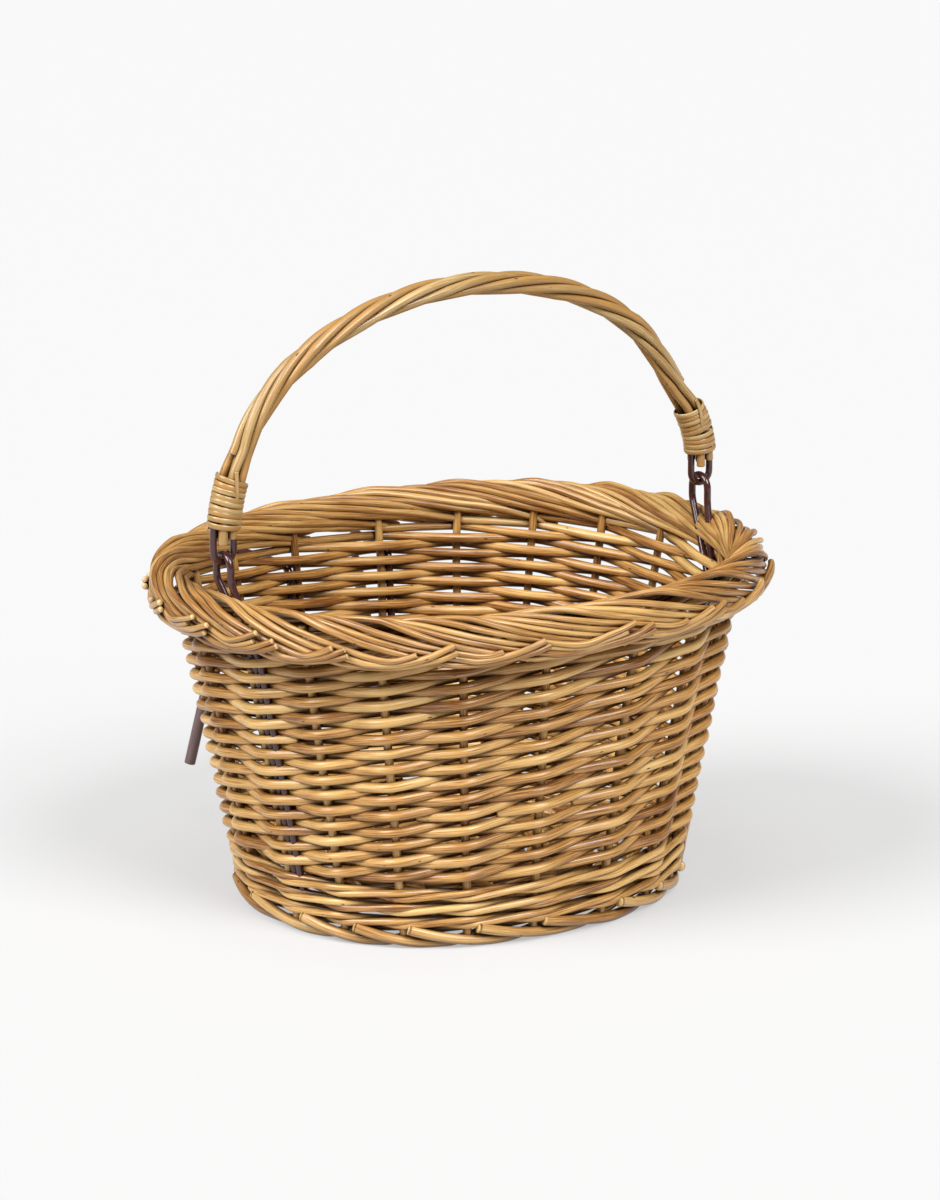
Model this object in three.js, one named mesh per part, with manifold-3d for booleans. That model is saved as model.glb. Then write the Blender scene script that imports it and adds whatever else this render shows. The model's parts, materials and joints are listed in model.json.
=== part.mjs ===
// A willow bicycle basket: an oval woven basket on a stick base, with a plaited border, a swinging
// twisted handle hung in two steel eyes, and two sleeved steel hooks for a handlebar on its back.
// Millimetres, +Z up. The long axis is X, the front is -Y and the hooks are at +Y. The origin is
// the middle of the foot, on the surface that the basket stands on.

import * as THREE from "three";
import { mergeVertices } from "three/addons/utils/BufferGeometryUtils.js";
import Module from "manifold-3d";

const wasm = await Module();
wasm.setup();

// ---- driving dimensions -------------------------------------------------------------------

const CLEARANCE = 0.3; // gap between pieces that touch

// the wall, an oval that widens upward
const BASE_LENGTH = 258; // outside, at the foot
const BASE_WIDTH = 226;
const WALL_TOP_LENGTH = 330; // outside, under the border
const WALL_TOP_WIDTH = 274;
const WALL_TOP = 170; // height of the wall's top edge
const WALL_THICKNESS = 11; // two weavers with a stake between them
const OVAL_POWER = 2.2; // 2 is an ellipse, more is squarer

// the courses of weaving, from the floor up
const FOOT_HEIGHT = 12;
const UPSETT_TOP = 36;
const RANDING_JOINS = [79, 122]; // heights where a fresh set of weavers starts
const BORDER_HEIGHT = 32;
const BORDER_OVERHANG = 19; // how far the border stands out past the wall
const BORDER_LIP = 0.5; // how far it stands in past the wall's inner face
const FOOT_WIDTH = 17; // radial width of the foot border
const FOOT_ROUND = 2; // on its outer lower edge

// the rods of the wall
const STAKE_COUNT = 20;
const STAKE_DIAMETER = 5.2;
const STAKE_FOOT = 3; // height of a stake's lower end
const STAKE_TIP_COVER = 10; // thickness of the border over a stake's tip
const CROSSED_STAKE_DROP = 11; // below the wall's top, for a stake that an eye crosses

// the base
const BASE_THICKNESS = 13;
const LONG_STICKS = 3;
const LONG_STICK_DIAMETER = 5;
const SHORT_STICKS = 5;
const SHORT_STICK_DIAMETER = 9;

// the steel
const EYE_ROD = 4.2; // diameter
const EYE_LOOP_WIDTH = 15; // between the centres of the loop's two sides
const EYE_LEG_PITCH = 4.7; // between the legs, side by side in the wall
const EYE_LEG_FOOT = 26; // height of the legs' lower ends
const EYE_LEG_DROP = 7; // the legs start to lean this far below the wall's top
const EYE_SHOULDER = 7; // straight part of the loop's sides
const HOOK_ROD = 4.8;
const HOOK_LEG_FOOT = 26;
const HOOK_SLEEVE = 6.6; // outside diameter of the sleeve on the hook's outer leg
const HOOK_PITCH = 80; // between the two bights
const HOOK_REACH = 49; // from the wall's middle to the outer leg, at the bight
const HOOK_TIP_HEIGHT = 35;
const HOOK_SPLAY = 30; // how far the tip stands to the side of the bight
const HOOK_LEAN = 9; // how far the tip stands out past the bight
const HOOK_BEND = 9; // radius of the rod's centre line at the bends
const SLEEVE_START = 24; // height of the bight above the sleeve's upper end

// the handle
const HINGE_HEIGHT = 15; // the hinge axis above the border
const HINGE_INSET = 2; // how far each eye stands in from the wall's end
const HINGE_Y = -9;
const HANDLE_RISE = 137; // from the hinge axis to the middle of the handle's crown
const HANDLE_SPRING = 11; // straight part between the hinge axis and the arch
const HANDLE_RODS = 5;
const HANDLE_ROD_DIAMETER = 5;
const HANDLE_CORE_DIAMETER = 3.4;
const HANDLE_TURNS = 2; // whole turns of the twist between the two whippings
const WHIPPING_START = 19; // from the hinge axis, along the handle
const WHIPPING_LENGTH = 28;
const WHIPPING_THICKNESS = 1.7;
const WHIPPING_EASE = 0.9; // room between the whipping and what it binds
const GATHERED_EASE = 0.4; // room round each rod where the rods gather at the staple
const ROD_END = 12; // from the hinge axis to the cut ends of the handle's rods
const GATHER_LENGTH = 18; // where the twisted rods gather beside the staple
const STAPLE_ROD = 4;
const STAPLE_WIDTH = 13; // between the centres of the staple's legs
const STAPLE_LEG_END = 42; // from the hinge axis to the legs' upper ends

// fineness
const OVAL_SEGMENTS = 56;
const BORDER_SIDES = 10;
const ROD_SIDES = 8;
const STICK_SIDES = 6;
const SLEEVE_SIDES = 12;
const TWIST_SIDES = 6;
const TWIST_STEPS = 40;
const BEND_STEPS = 3;
const LOOP_STEPS = 8;

// ---- sizes that follow --------------------------------------------------------------------

const BORDER_TOP = WALL_TOP + BORDER_HEIGHT;
const HINGE_Z = BORDER_TOP + HINGE_HEIGHT;
const HALF_WALL = WALL_THICKNESS / 2;
const BASE_BOTTOM = FOOT_HEIGHT + CLEARANCE;
const BASE_MIDDLE = BASE_BOTTOM + BASE_THICKNESS / 2;
const STAKE_STEP = (2 * Math.PI) / STAKE_COUNT;
const HINGE_SPAN = WALL_TOP_LENGTH - 2 * HINGE_INSET;

const willow = (color) => ({ color, roughness: 0.55, metalness: 0 });
const SIDING = willow(0xb98a50);
const RODS = willow(0xc79a5e);
const BORDER = willow(0xcfa369);
const HANDLE = willow(0xd6b071);
const SKEIN = willow(0xdcb978);
const STEEL = { color: 0x3a2628, roughness: 0.3, metalness: 0.4 };
const SLEEVE = { color: 0x6e5a58, roughness: 0.6, metalness: 0 };

// ---- geometry helpers ---------------------------------------------------------------------

function signedPower(value, power) {
  return Math.sign(value) * Math.abs(value) ** power;
}

// The middle of the wall's thickness at one height, or a line at a distance outside it.
function ovalPoint(angle, z, offset) {
  const share = z / WALL_TOP;
  const halfLength = THREE.MathUtils.lerp(BASE_LENGTH, WALL_TOP_LENGTH, share) / 2 - HALF_WALL;
  const halfWidth = THREE.MathUtils.lerp(BASE_WIDTH, WALL_TOP_WIDTH, share) / 2 - HALF_WALL;
  const x = (halfLength + offset) * signedPower(Math.cos(angle), 2 / OVAL_POWER);
  const y = (halfWidth + offset) * signedPower(Math.sin(angle), 2 / OVAL_POWER);
  return new THREE.Vector3(x, y, z);
}

// A point beside a stake, shifted along the wall.
function besideStake(angle, z, shift) {
  const ahead = ovalPoint(angle + 0.01, z, 0);
  const along = ahead.sub(ovalPoint(angle - 0.01, z, 0)).normalize();
  return ovalPoint(angle, z, 0).addScaledVector(along, shift);
}

// A closed ring whose section is given as [offset from the wall's middle, height] points.
function ovalRing(section) {
  const away = 1000;
  const profile = [...section, section[0]].map(([offset, z]) => new THREE.Vector2(away + offset, z));
  const ring = new THREE.LatheGeometry(profile, OVAL_SEGMENTS);
  const position = ring.getAttribute("position");
  for (let i = 0; i < position.count; i += 1) {
    const radius = Math.hypot(position.getX(i), position.getZ(i));
    const angle = Math.atan2(-position.getZ(i), position.getX(i));
    const point = ovalPoint(angle, position.getY(i), radius - away);
    position.setXYZ(i, point.x, point.y, point.z);
  }
  return ring;
}

// A flat oval plate that fills the ring's inside at the given offset.
function ovalPlate(offset, bottom, top) {
  const edge = [];
  for (let i = 0; i < OVAL_SEGMENTS; i += 1) {
    const point = ovalPoint((i / OVAL_SEGMENTS) * 2 * Math.PI, bottom, offset);
    edge.push(new THREE.Vector2(point.x, point.y));
  }
  const plate = new THREE.ExtrudeGeometry(new THREE.Shape(edge), {
    depth: top - bottom,
    bevelEnabled: false,
  });
  return plate.translate(0, 0, bottom);
}

function circle(radius, sides = ROD_SIDES) {
  const points = [];
  for (let i = 0; i < sides; i += 1) {
    const angle = ((i + 0.5) / sides) * 2 * Math.PI;
    points.push(new THREE.Vector2(radius * Math.cos(angle), radius * Math.sin(angle)));
  }
  return new THREE.Shape(points);
}

function rodAlong(curve, diameter, steps, sides = ROD_SIDES) {
  return new THREE.ExtrudeGeometry(circle(diameter / 2, sides), {
    steps,
    bevelEnabled: false,
    extrudePath: curve,
  });
}

function straightRod(start, end, diameter, sides = STICK_SIDES) {
  return rodAlong(new THREE.LineCurve3(start, end), diameter, 1, sides);
}

// A line through stations, which an extrusion follows with one step between each two.
class StationLine extends THREE.Curve {
  constructor(stations) {
    super();
    this.stations = stations;
  }

  getPoint(share, target = new THREE.Vector3()) {
    const place = THREE.MathUtils.clamp(share, 0, 1) * (this.stations.length - 1);
    const index = Math.min(Math.floor(place), this.stations.length - 2);
    return target.lerpVectors(this.stations[index], this.stations[index + 1], place - index);
  }

  getUtoTmapping(share) {
    return share;
  }
}

function rodThrough(stations, diameter, sides = ROD_SIDES) {
  return rodAlong(new StationLine(stations), diameter, stations.length - 1, sides);
}

// Stations along straight stretches, with each inner corner rounded to the given radius.
function roundedStations(corners, radius) {
  const stations = [corners[0]];
  for (let i = 1; i < corners.length - 1; i += 1) {
    const before = corners[i - 1].clone().sub(corners[i]);
    const after = corners[i + 1].clone().sub(corners[i]);
    const wanted = radius / Math.tan(before.angleTo(after) / 2);
    const reach = Math.min(wanted, before.length() * 0.45, after.length() * 0.45);
    const enter = corners[i].clone().addScaledVector(before.normalize(), reach);
    const leave = corners[i].clone().addScaledVector(after.normalize(), reach);
    const bend = new THREE.QuadraticBezierCurve3(enter, corners[i], leave);
    stations.push(...bend.getPoints(BEND_STEPS));
  }
  stations.push(corners[corners.length - 1]);
  return stations;
}

function toSolid(geometry) {
  const bare = geometry.clone();
  bare.deleteAttribute("normal");
  bare.deleteAttribute("uv");
  const merged = mergeVertices(bare, 1e-4);
  return new wasm.Manifold(
    new wasm.Mesh({
      numProp: 3,
      vertProperties: new Float32Array(merged.getAttribute("position").array),
      triVerts: new Uint32Array(merged.getIndex().array),
    }),
  );
}

function toGeometry(solid) {
  const mesh = solid.getMesh();
  const geometry = new THREE.BufferGeometry();
  geometry.setAttribute("position", new THREE.BufferAttribute(mesh.vertProperties, 3));
  geometry.setIndex(new THREE.BufferAttribute(mesh.triVerts, 1));
  return geometry;
}

function cutBy(geometry, cutters) {
  const solid = toSolid(geometry).subtract(wasm.Manifold.union(cutters.map(toSolid)));
  return toGeometry(solid);
}

const basket = new THREE.Group();
const handle = new THREE.Group();

function addPiece(group, name, geometry, look) {
  const piece = new THREE.Mesh(geometry, new THREE.MeshStandardMaterial(look));
  piece.name = name;
  group.add(piece);
  return piece;
}

// ---- stakes ------------------------------------------------------------------------------

// Stakes stand evenly round the wall, with the ends of the long axis midway between two.
function stakeAngle(index) {
  return (index + 0.5) * STAKE_STEP;
}

// The two stakes that the eyes' legs cross over end under the border.
function stakeRod(index, clearance) {
  const angle = stakeAngle(index);
  const crossed = index === STAKE_COUNT / 2 || index === STAKE_COUNT - 1;
  const top = crossed ? WALL_TOP - CROSSED_STAKE_DROP : BORDER_TOP - STAKE_TIP_COVER;
  const foot = ovalPoint(angle, STAKE_FOOT - clearance, 0);
  const tip = ovalPoint(angle, top + clearance, 0);
  return straightRod(foot, tip, STAKE_DIAMETER + 2 * clearance);
}

function buildStakes() {
  for (let i = 0; i < STAKE_COUNT; i += 1) {
    const name = `stake_${String(i + 1).padStart(2, "0")}`;
    addPiece(basket, name, stakeRod(i, 0), RODS);
  }
}

// ---- steel eyes ---------------------------------------------------------------------------

// The stake that the eye's legs run beside: the first in front of each end of the long axis.
function eyeStakeAngle(side) {
  return side > 0 ? stakeAngle(STAKE_COUNT - 1) : stakeAngle(STAKE_COUNT / 2);
}

// A hairpin of rod: two legs side by side in the wall that open into a loop above the border.
function eyeStations(side) {
  const angle = eyeStakeAngle(side);
  const near = (STAKE_DIAMETER + EYE_ROD) / 2 + 2 * CLEARANCE;
  const far = near + EYE_LEG_PITCH;
  const legTop = WALL_TOP - EYE_LEG_DROP;
  const leg = (z, shift) => besideStake(angle, z, -side * shift);
  const loopX = (side * HINGE_SPAN) / 2;
  const loopRadius = EYE_LOOP_WIDTH / 2;
  const crown = HINGE_Z + (STAPLE_ROD + EYE_ROD) / 2 + CLEARANCE;
  const loop = [];
  for (let i = 0; i <= LOOP_STEPS; i += 1) {
    const turn = (i / LOOP_STEPS) * Math.PI;
    const y = HINGE_Y + loopRadius * Math.cos(turn);
    const z = crown - loopRadius + loopRadius * Math.sin(turn);
    loop.push(new THREE.Vector3(loopX, y, z));
  }
  const shoulder = loop[0].z - EYE_SHOULDER;
  const back = new THREE.Vector3(loopX, HINGE_Y + loopRadius, shoulder);
  const front = new THREE.Vector3(loopX, HINGE_Y - loopRadius, shoulder);
  const rising = roundedStations([leg(EYE_LEG_FOOT, near), leg(legTop, near), back, loop[0]], 14);
  const falling = [loop[LOOP_STEPS], front, leg(legTop, far), leg(EYE_LEG_FOOT, far)];
  return [...rising, ...loop.slice(1), ...roundedStations(falling, 14).slice(1)];
}

function eyeRod(side, clearance) {
  return rodThrough(eyeStations(side), EYE_ROD + 2 * clearance);
}

function buildEyes() {
  addPiece(basket, "eye_left", eyeRod(-1, 0), STEEL);
  addPiece(basket, "eye_right", eyeRod(1, 0), STEEL);
}

// ---- handlebar hooks ----------------------------------------------------------------------

// The stake that the hook's inner leg runs beside: the one next to the middle of the back.
function hookStakeAngle(side) {
  return Math.PI / 2 - side * 0.5 * STAKE_STEP;
}

function hookCorners(side) {
  const beside = (STAKE_DIAMETER + HOOK_ROD) / 2 + 2 * CLEARANCE;
  const bight = WALL_TOP - HOOK_ROD;
  const leg = (z) => besideStake(hookStakeAngle(side), z, -side * beside);
  const inner = leg(bight);
  const outer = new THREE.Vector3((side * HOOK_PITCH) / 2, inner.y + HOOK_REACH, bight);
  const tip = outer.clone();
  tip.x += side * HOOK_SPLAY;
  tip.y += HOOK_LEAN;
  tip.z = HOOK_TIP_HEIGHT;
  return { foot: leg(HOOK_LEG_FOOT), inner, outer, tip };
}

function hookRod(side, clearance) {
  const corners = hookCorners(side);
  const tip = corners.tip.clone().lerp(corners.outer, 0.02);
  const bends = roundedStations([corners.foot, corners.inner, corners.outer, tip], HOOK_BEND);
  return rodThrough(bends, HOOK_ROD + 2 * clearance);
}

// The sleeve is a tube on the outer leg, open at its upper end and closed by its end cap below.
function hookSleeve(side) {
  const corners = hookCorners(side);
  const along = corners.tip.clone().sub(corners.outer).normalize();
  const start = corners.outer.clone().addScaledVector(along, SLEEVE_START);
  const sleeve = straightRod(start, corners.tip, HOOK_SLEEVE, SLEEVE_SIDES);
  return cutBy(sleeve, [hookRod(side, CLEARANCE)]);
}

function buildHooks() {
  addPiece(basket, "hook_left", hookRod(-1, 0), STEEL);
  addPiece(basket, "hook_right", hookRod(1, 0), STEEL);
  addPiece(basket, "hook_sleeve_left", hookSleeve(-1), SLEEVE);
  addPiece(basket, "hook_sleeve_right", hookSleeve(1), SLEEVE);
}

// ---- woven wall ---------------------------------------------------------------------------

// Everything that runs up inside the wall, with the room that the weavers leave round it.
function wallBores() {
  const bores = [];
  for (let i = 0; i < STAKE_COUNT; i += 1) {
    bores.push(stakeRod(i, CLEARANCE));
  }
  for (const side of [-1, 1]) {
    bores.push(eyeRod(side, CLEARANCE), hookRod(side, CLEARANCE));
  }
  return bores;
}

function wallCourse(bottom, top) {
  return ovalRing([
    [-HALF_WALL, bottom],
    [HALF_WALL, bottom],
    [HALF_WALL, top],
    [-HALF_WALL, top],
  ]);
}

function buildWall(bores) {
  const joins = [UPSETT_TOP, ...RANDING_JOINS, WALL_TOP];
  addPiece(basket, "upsett_waling", cutBy(wallCourse(BASE_BOTTOM, UPSETT_TOP), bores), SIDING);
  ["randing_lower", "randing_middle", "randing_upper"].forEach((name, i) => {
    addPiece(basket, name, cutBy(wallCourse(joins[i] + CLEARANCE, joins[i + 1]), bores), SIDING);
  });
}

function buildFootBorder(bores) {
  const inner = HALF_WALL - FOOT_WIDTH;
  const section = [
    [inner, 0],
    [HALF_WALL - FOOT_ROUND, 0],
    [HALF_WALL, FOOT_ROUND],
    [HALF_WALL, FOOT_HEIGHT],
    [inner, FOOT_HEIGHT],
  ];
  addPiece(basket, "foot_border", cutBy(ovalRing(section), bores), BORDER);
}

// The plait rolls over the wall's top edge and stands out past its outer face.
function buildRimBorder(bores) {
  const flare = (WALL_TOP_LENGTH - BASE_LENGTH) / 2 / WALL_TOP;
  const inner = -HALF_WALL - BORDER_LIP;
  const outer = HALF_WALL + BORDER_OVERHANG - (flare * BORDER_HEIGHT) / 2;
  const middle = (inner + outer) / 2;
  const halfWidth = (outer - inner) / 2;
  const halfHeight = (BORDER_HEIGHT - CLEARANCE) / 2;
  const centre = BORDER_TOP - halfHeight;
  const round = 1 / Math.cos(Math.PI / BORDER_SIDES);
  const section = [];
  for (let i = 0; i < BORDER_SIDES; i += 1) {
    const angle = (i / BORDER_SIDES) * 2 * Math.PI;
    section.push([
      middle + halfWidth * Math.cos(angle),
      centre + halfHeight * round * Math.sin(angle),
    ]);
  }
  addPiece(basket, "rim_border", cutBy(ovalRing(section), bores), BORDER);
}

// ---- base ---------------------------------------------------------------------------------

const BASE_EDGE = -HALF_WALL - CLEARANCE;

// Long sticks lie side by side through the cleft middles of the short ones.
function longStick(index) {
  const y = (index - (LONG_STICKS - 1) / 2) * (LONG_STICK_DIAMETER + CLEARANCE);
  const end = ovalPoint(0, BASE_BOTTOM, BASE_EDGE).x - 2;
  const start = new THREE.Vector3(-end, y, BASE_MIDDLE);
  const stop = new THREE.Vector3(end, y, BASE_MIDDLE);
  return straightRod(start, stop, LONG_STICK_DIAMETER);
}

// Short sticks run across the base, each midway between two stakes.
function shortStick(index, clearance, lengthen) {
  const angle = Math.PI / 2 - (index - (SHORT_STICKS - 1) / 2) * STAKE_STEP;
  const edge = ovalPoint(angle, BASE_BOTTOM, BASE_EDGE - 2);
  const end = edge.y - 2 * CLEARANCE + lengthen;
  const start = new THREE.Vector3(edge.x, -end, BASE_MIDDLE);
  const stop = new THREE.Vector3(edge.x, end, BASE_MIDDLE);
  return straightRod(start, stop, SHORT_STICK_DIAMETER + 2 * clearance);
}

// The room that the long sticks take up, side by side.
function longStickChannel() {
  const width = LONG_STICKS * (LONG_STICK_DIAMETER + CLEARANCE) + CLEARANCE;
  const height = LONG_STICK_DIAMETER + 2 * CLEARANCE;
  const channel = new THREE.BoxGeometry(BASE_LENGTH, width, height);
  return channel.translate(0, 0, BASE_MIDDLE);
}

function buildBase() {
  const channels = [longStickChannel()];
  for (let i = 0; i < LONG_STICKS; i += 1) {
    addPiece(basket, `base_long_stick_${i + 1}`, longStick(i), RODS);
  }
  for (let i = 0; i < SHORT_STICKS; i += 1) {
    const stick = cutBy(shortStick(i, 0, 0), [longStickChannel()]);
    addPiece(basket, `base_short_stick_${i + 1}`, stick, RODS);
    channels.push(shortStick(i, CLEARANCE, 6));
  }
  const plate = ovalPlate(BASE_EDGE, BASE_BOTTOM, BASE_BOTTOM + BASE_THICKNESS);
  addPiece(basket, "base_weave", cutBy(plate, channels), SIDING);
}

// ---- handle -------------------------------------------------------------------------------

const ARCH_FOOT = HINGE_Z + HANDLE_SPRING;
const ARCH_HEIGHT = HANDLE_RISE - HANDLE_SPRING;
const HANDLE_REACH = HINGE_SPAN / 2;

// The handle's centre line: a half ellipse on a short straight part at each end.
class HandleLine extends THREE.Curve {
  getPoint(share, target = new THREE.Vector3()) {
    const turn = Math.PI * (1 - share);
    return target.set(
      HANDLE_REACH * Math.cos(turn),
      HINGE_Y,
      ARCH_FOOT + ARCH_HEIGHT * Math.sin(turn),
    );
  }
}

const handleLine = new HandleLine();
const archLength = handleLine.getLength();

// A place on the handle: distance from the left hinge axis, then outward and backward of the line.
function handlePoint(distance, outward, backward) {
  const along = THREE.MathUtils.clamp((distance - HANDLE_SPRING) / archLength, 0, 1);
  const centre = handleLine.getPointAt(along);
  const tangent = handleLine.getTangentAt(along);
  const past = distance - HANDLE_SPRING - along * archLength;
  const normal = new THREE.Vector3(-tangent.z, 0, tangent.x);
  return centre
    .addScaledVector(tangent, past)
    .addScaledVector(normal, outward)
    .add(new THREE.Vector3(0, backward, 0));
}

const HANDLE_LENGTH = archLength + 2 * HANDLE_SPRING;
const GATHERED_UNTIL = WHIPPING_START + WHIPPING_LENGTH;
const TWISTED_FROM = GATHERED_UNTIL + GATHER_LENGTH;
const TWIST_RADIUS = (HANDLE_ROD_DIAMETER + 0.45) / (2 * Math.sin(Math.PI / HANDLE_RODS));

// Four rods lie in pairs in front of and behind the core, between the staple's legs.
const GATHERED_OUT = HANDLE_ROD_DIAMETER / 2 + GATHERED_EASE;
const GATHERED_BACK = (HANDLE_ROD_DIAMETER + HANDLE_CORE_DIAMETER) / 2 + GATHERED_EASE;
const GATHERED_ANGLE = Math.atan2(GATHERED_BACK, GATHERED_OUT);
const GATHERED_RADIUS = Math.hypot(GATHERED_OUT, GATHERED_BACK);

// Under a whipping the rods lie in four corners, clear of the staple's legs. Rod 0 ends above it.
function gatheredAngle(rod) {
  const corners = [0, GATHERED_ANGLE, Math.PI - GATHERED_ANGLE];
  corners.push(GATHERED_ANGLE - Math.PI, -GATHERED_ANGLE);
  return corners[rod];
}

class HandleRodLine extends THREE.Curve {
  constructor(rod) {
    super();
    this.rod = rod;
    this.from = rod === 0 ? TWISTED_FROM - 4 : ROD_END;
  }

  getPoint(share, target = new THREE.Vector3()) {
    const distance = THREE.MathUtils.lerp(this.from, HANDLE_LENGTH - this.from, share);
    const twistShare = (distance - TWISTED_FROM) / (HANDLE_LENGTH - 2 * TWISTED_FROM);
    const twist = THREE.MathUtils.clamp(twistShare, 0, 1) * HANDLE_TURNS * 2 * Math.PI;
    const toEnd = Math.min(distance, HANDLE_LENGTH - distance);
    const open = THREE.MathUtils.smoothstep(toEnd, GATHERED_UNTIL, TWISTED_FROM);
    let spread = (this.rod * 2 * Math.PI) / HANDLE_RODS;
    if (spread > Math.PI) {
      spread -= 2 * Math.PI;
    }
    const angle = THREE.MathUtils.lerp(gatheredAngle(this.rod), spread, open) + twist;
    const radius = THREE.MathUtils.lerp(GATHERED_RADIUS, TWIST_RADIUS, open);
    return target.copy(handlePoint(distance, radius * Math.cos(angle), radius * Math.sin(angle)));
  }
}

class HandleCoreLine extends THREE.Curve {
  getPoint(share, target = new THREE.Vector3()) {
    const distance = THREE.MathUtils.lerp(ROD_END, HANDLE_LENGTH - ROD_END, share);
    return target.copy(handlePoint(distance, 0, 0));
  }
}

function buildHandleRods() {
  const core = rodAlong(new HandleCoreLine(), HANDLE_CORE_DIAMETER, TWIST_STEPS / 2, TWIST_SIDES);
  addPiece(handle, "handle_core", core, HANDLE);
  for (let rod = 0; rod < HANDLE_RODS; rod += 1) {
    const line = new HandleRodLine(rod);
    const geometry = rodAlong(line, HANDLE_ROD_DIAMETER, TWIST_STEPS, TWIST_SIDES);
    addPiece(handle, `handle_rod_${rod + 1}`, geometry, HANDLE);
  }
}

// The staple's bottom crosses the eye, and its legs stand inside the whipping.
function stapleStations(side) {
  const place = (distance, outward) => {
    const from = side < 0 ? distance : HANDLE_LENGTH - distance;
    return handlePoint(from, outward, 0);
  };
  const radius = STAPLE_WIDTH / 2;
  const legs = [STAPLE_LEG_END, (STAPLE_LEG_END + WHIPPING_START) / 2, WHIPPING_START];
  const stations = legs.map((distance) => place(distance, radius));
  for (let i = 0; i <= LOOP_STEPS; i += 1) {
    const turn = (i / LOOP_STEPS) * Math.PI;
    stations.push(place(radius - radius * Math.sin(turn), radius * Math.cos(turn)));
  }
  stations.push(...legs.reverse().map((distance) => place(distance, -radius)));
  return stations;
}

function buildStaples() {
  addPiece(handle, "staple_left", rodThrough(stapleStations(-1), STAPLE_ROD), STEEL);
  addPiece(handle, "staple_right", rodThrough(stapleStations(1), STAPLE_ROD), STEEL);
}

// An oval sleeve of turned skein round the rods and the staple's legs. An extrusion along the
// handle lays its section's first axis front to back, and its second one across the handle.
function whippingSection(outward, backward) {
  const points = [];
  for (let i = 0; i < 20; i += 1) {
    const turn = (i / 20) * 2 * Math.PI;
    points.push(new THREE.Vector2(backward * Math.cos(turn), outward * Math.sin(turn)));
  }
  return points;
}

class WhippingLine extends THREE.Curve {
  constructor(side) {
    super();
    this.side = side;
  }

  getPoint(share, target = new THREE.Vector3()) {
    const distance = THREE.MathUtils.lerp(WHIPPING_START, GATHERED_UNTIL, share);
    const from = this.side < 0 ? distance : HANDLE_LENGTH - distance;
    return target.copy(handlePoint(from, 0, 0));
  }
}

// The inside clears the staple's legs at its two ends, and the four gathered rods between them.
function whippingSleeve(side, extra) {
  const corner = GATHERED_RADIUS + HANDLE_ROD_DIAMETER / 2;
  const cornerOut = corner * Math.cos(GATHERED_ANGLE);
  const cornerBack = corner * Math.sin(GATHERED_ANGLE);
  const insideOut = (STAPLE_WIDTH + STAPLE_ROD) / 2 + WHIPPING_EASE;
  const insideBack = cornerBack / Math.sqrt(1 - (cornerOut / insideOut) ** 2) + WHIPPING_EASE / 2;
  const steps = 4;
  const shape = new THREE.Shape(whippingSection(insideOut + extra, insideBack + extra));
  if (extra > 0) {
    shape.holes.push(new THREE.Path(whippingSection(insideOut, insideBack).reverse()));
  }
  return new THREE.ExtrudeGeometry(shape, {
    steps,
    bevelEnabled: false,
    extrudePath: new WhippingLine(side),
  });
}

function buildWhippings() {
  addPiece(handle, "whipping_left", whippingSleeve(-1, WHIPPING_THICKNESS), SKEIN);
  addPiece(handle, "whipping_right", whippingSleeve(1, WHIPPING_THICKNESS), SKEIN);
}

// ---- assembly -----------------------------------------------------------------------------

buildStakes();
buildEyes();
buildHooks();
buildBase();
const bores = wallBores();
buildFootBorder(bores);
buildWall(bores);
buildRimBorder(bores);
buildHandleRods();
buildStaples();
buildWhippings();

const model = new THREE.Group();
model.add(basket, handle);
model.updateMatrixWorld(true);

// The origin is the middle of the whole object's box, on the floor.
const box = new THREE.Box3().setFromObject(model);
model.position.set(-(box.min.x + box.max.x) / 2, -(box.min.y + box.max.y) / 2, -box.min.z);

export default model;
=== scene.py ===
"""A willow bicycle basket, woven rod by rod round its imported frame.

Every weaver, stake, border rod and skein is a real swept rod. The sizes and places come from the
frame's nodes and joints, and the rods' own diameters are in the property groups.
"""

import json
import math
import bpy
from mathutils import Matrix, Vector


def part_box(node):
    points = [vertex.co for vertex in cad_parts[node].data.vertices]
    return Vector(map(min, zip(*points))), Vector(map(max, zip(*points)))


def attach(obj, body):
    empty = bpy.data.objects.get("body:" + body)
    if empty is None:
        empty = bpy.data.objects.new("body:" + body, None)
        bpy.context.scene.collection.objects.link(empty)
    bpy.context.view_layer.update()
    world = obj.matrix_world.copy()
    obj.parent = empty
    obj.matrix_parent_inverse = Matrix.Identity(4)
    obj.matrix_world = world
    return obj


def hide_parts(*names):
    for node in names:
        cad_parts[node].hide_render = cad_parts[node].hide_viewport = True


bl_info = {
    "name": "Willow bicycle basket",
    "version": (1, 0, 0),
    "blender": (4, 5, 0),
    "location": "View3D > Sidebar > Basket",
    "description": "Weaves a willow bicycle basket rod by rod round its packed frame",
    "category": "Add Mesh",
}

import bpy
import numpy as np
from bpy.props import FloatProperty, FloatVectorProperty, IntProperty, PointerProperty
from bpy.types import Operator, Panel, PropertyGroup
from mathutils import Vector

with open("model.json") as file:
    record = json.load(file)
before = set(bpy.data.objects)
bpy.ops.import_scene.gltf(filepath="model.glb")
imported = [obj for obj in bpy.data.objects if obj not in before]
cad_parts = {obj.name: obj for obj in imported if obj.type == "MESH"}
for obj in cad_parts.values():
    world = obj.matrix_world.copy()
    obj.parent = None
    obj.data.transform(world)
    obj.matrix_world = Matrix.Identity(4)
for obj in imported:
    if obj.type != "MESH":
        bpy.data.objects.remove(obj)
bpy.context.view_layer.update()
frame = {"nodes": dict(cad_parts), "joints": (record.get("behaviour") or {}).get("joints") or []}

MM = 0.001

# ---- sizes taken from the frame ---------------------------------------------------------

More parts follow.
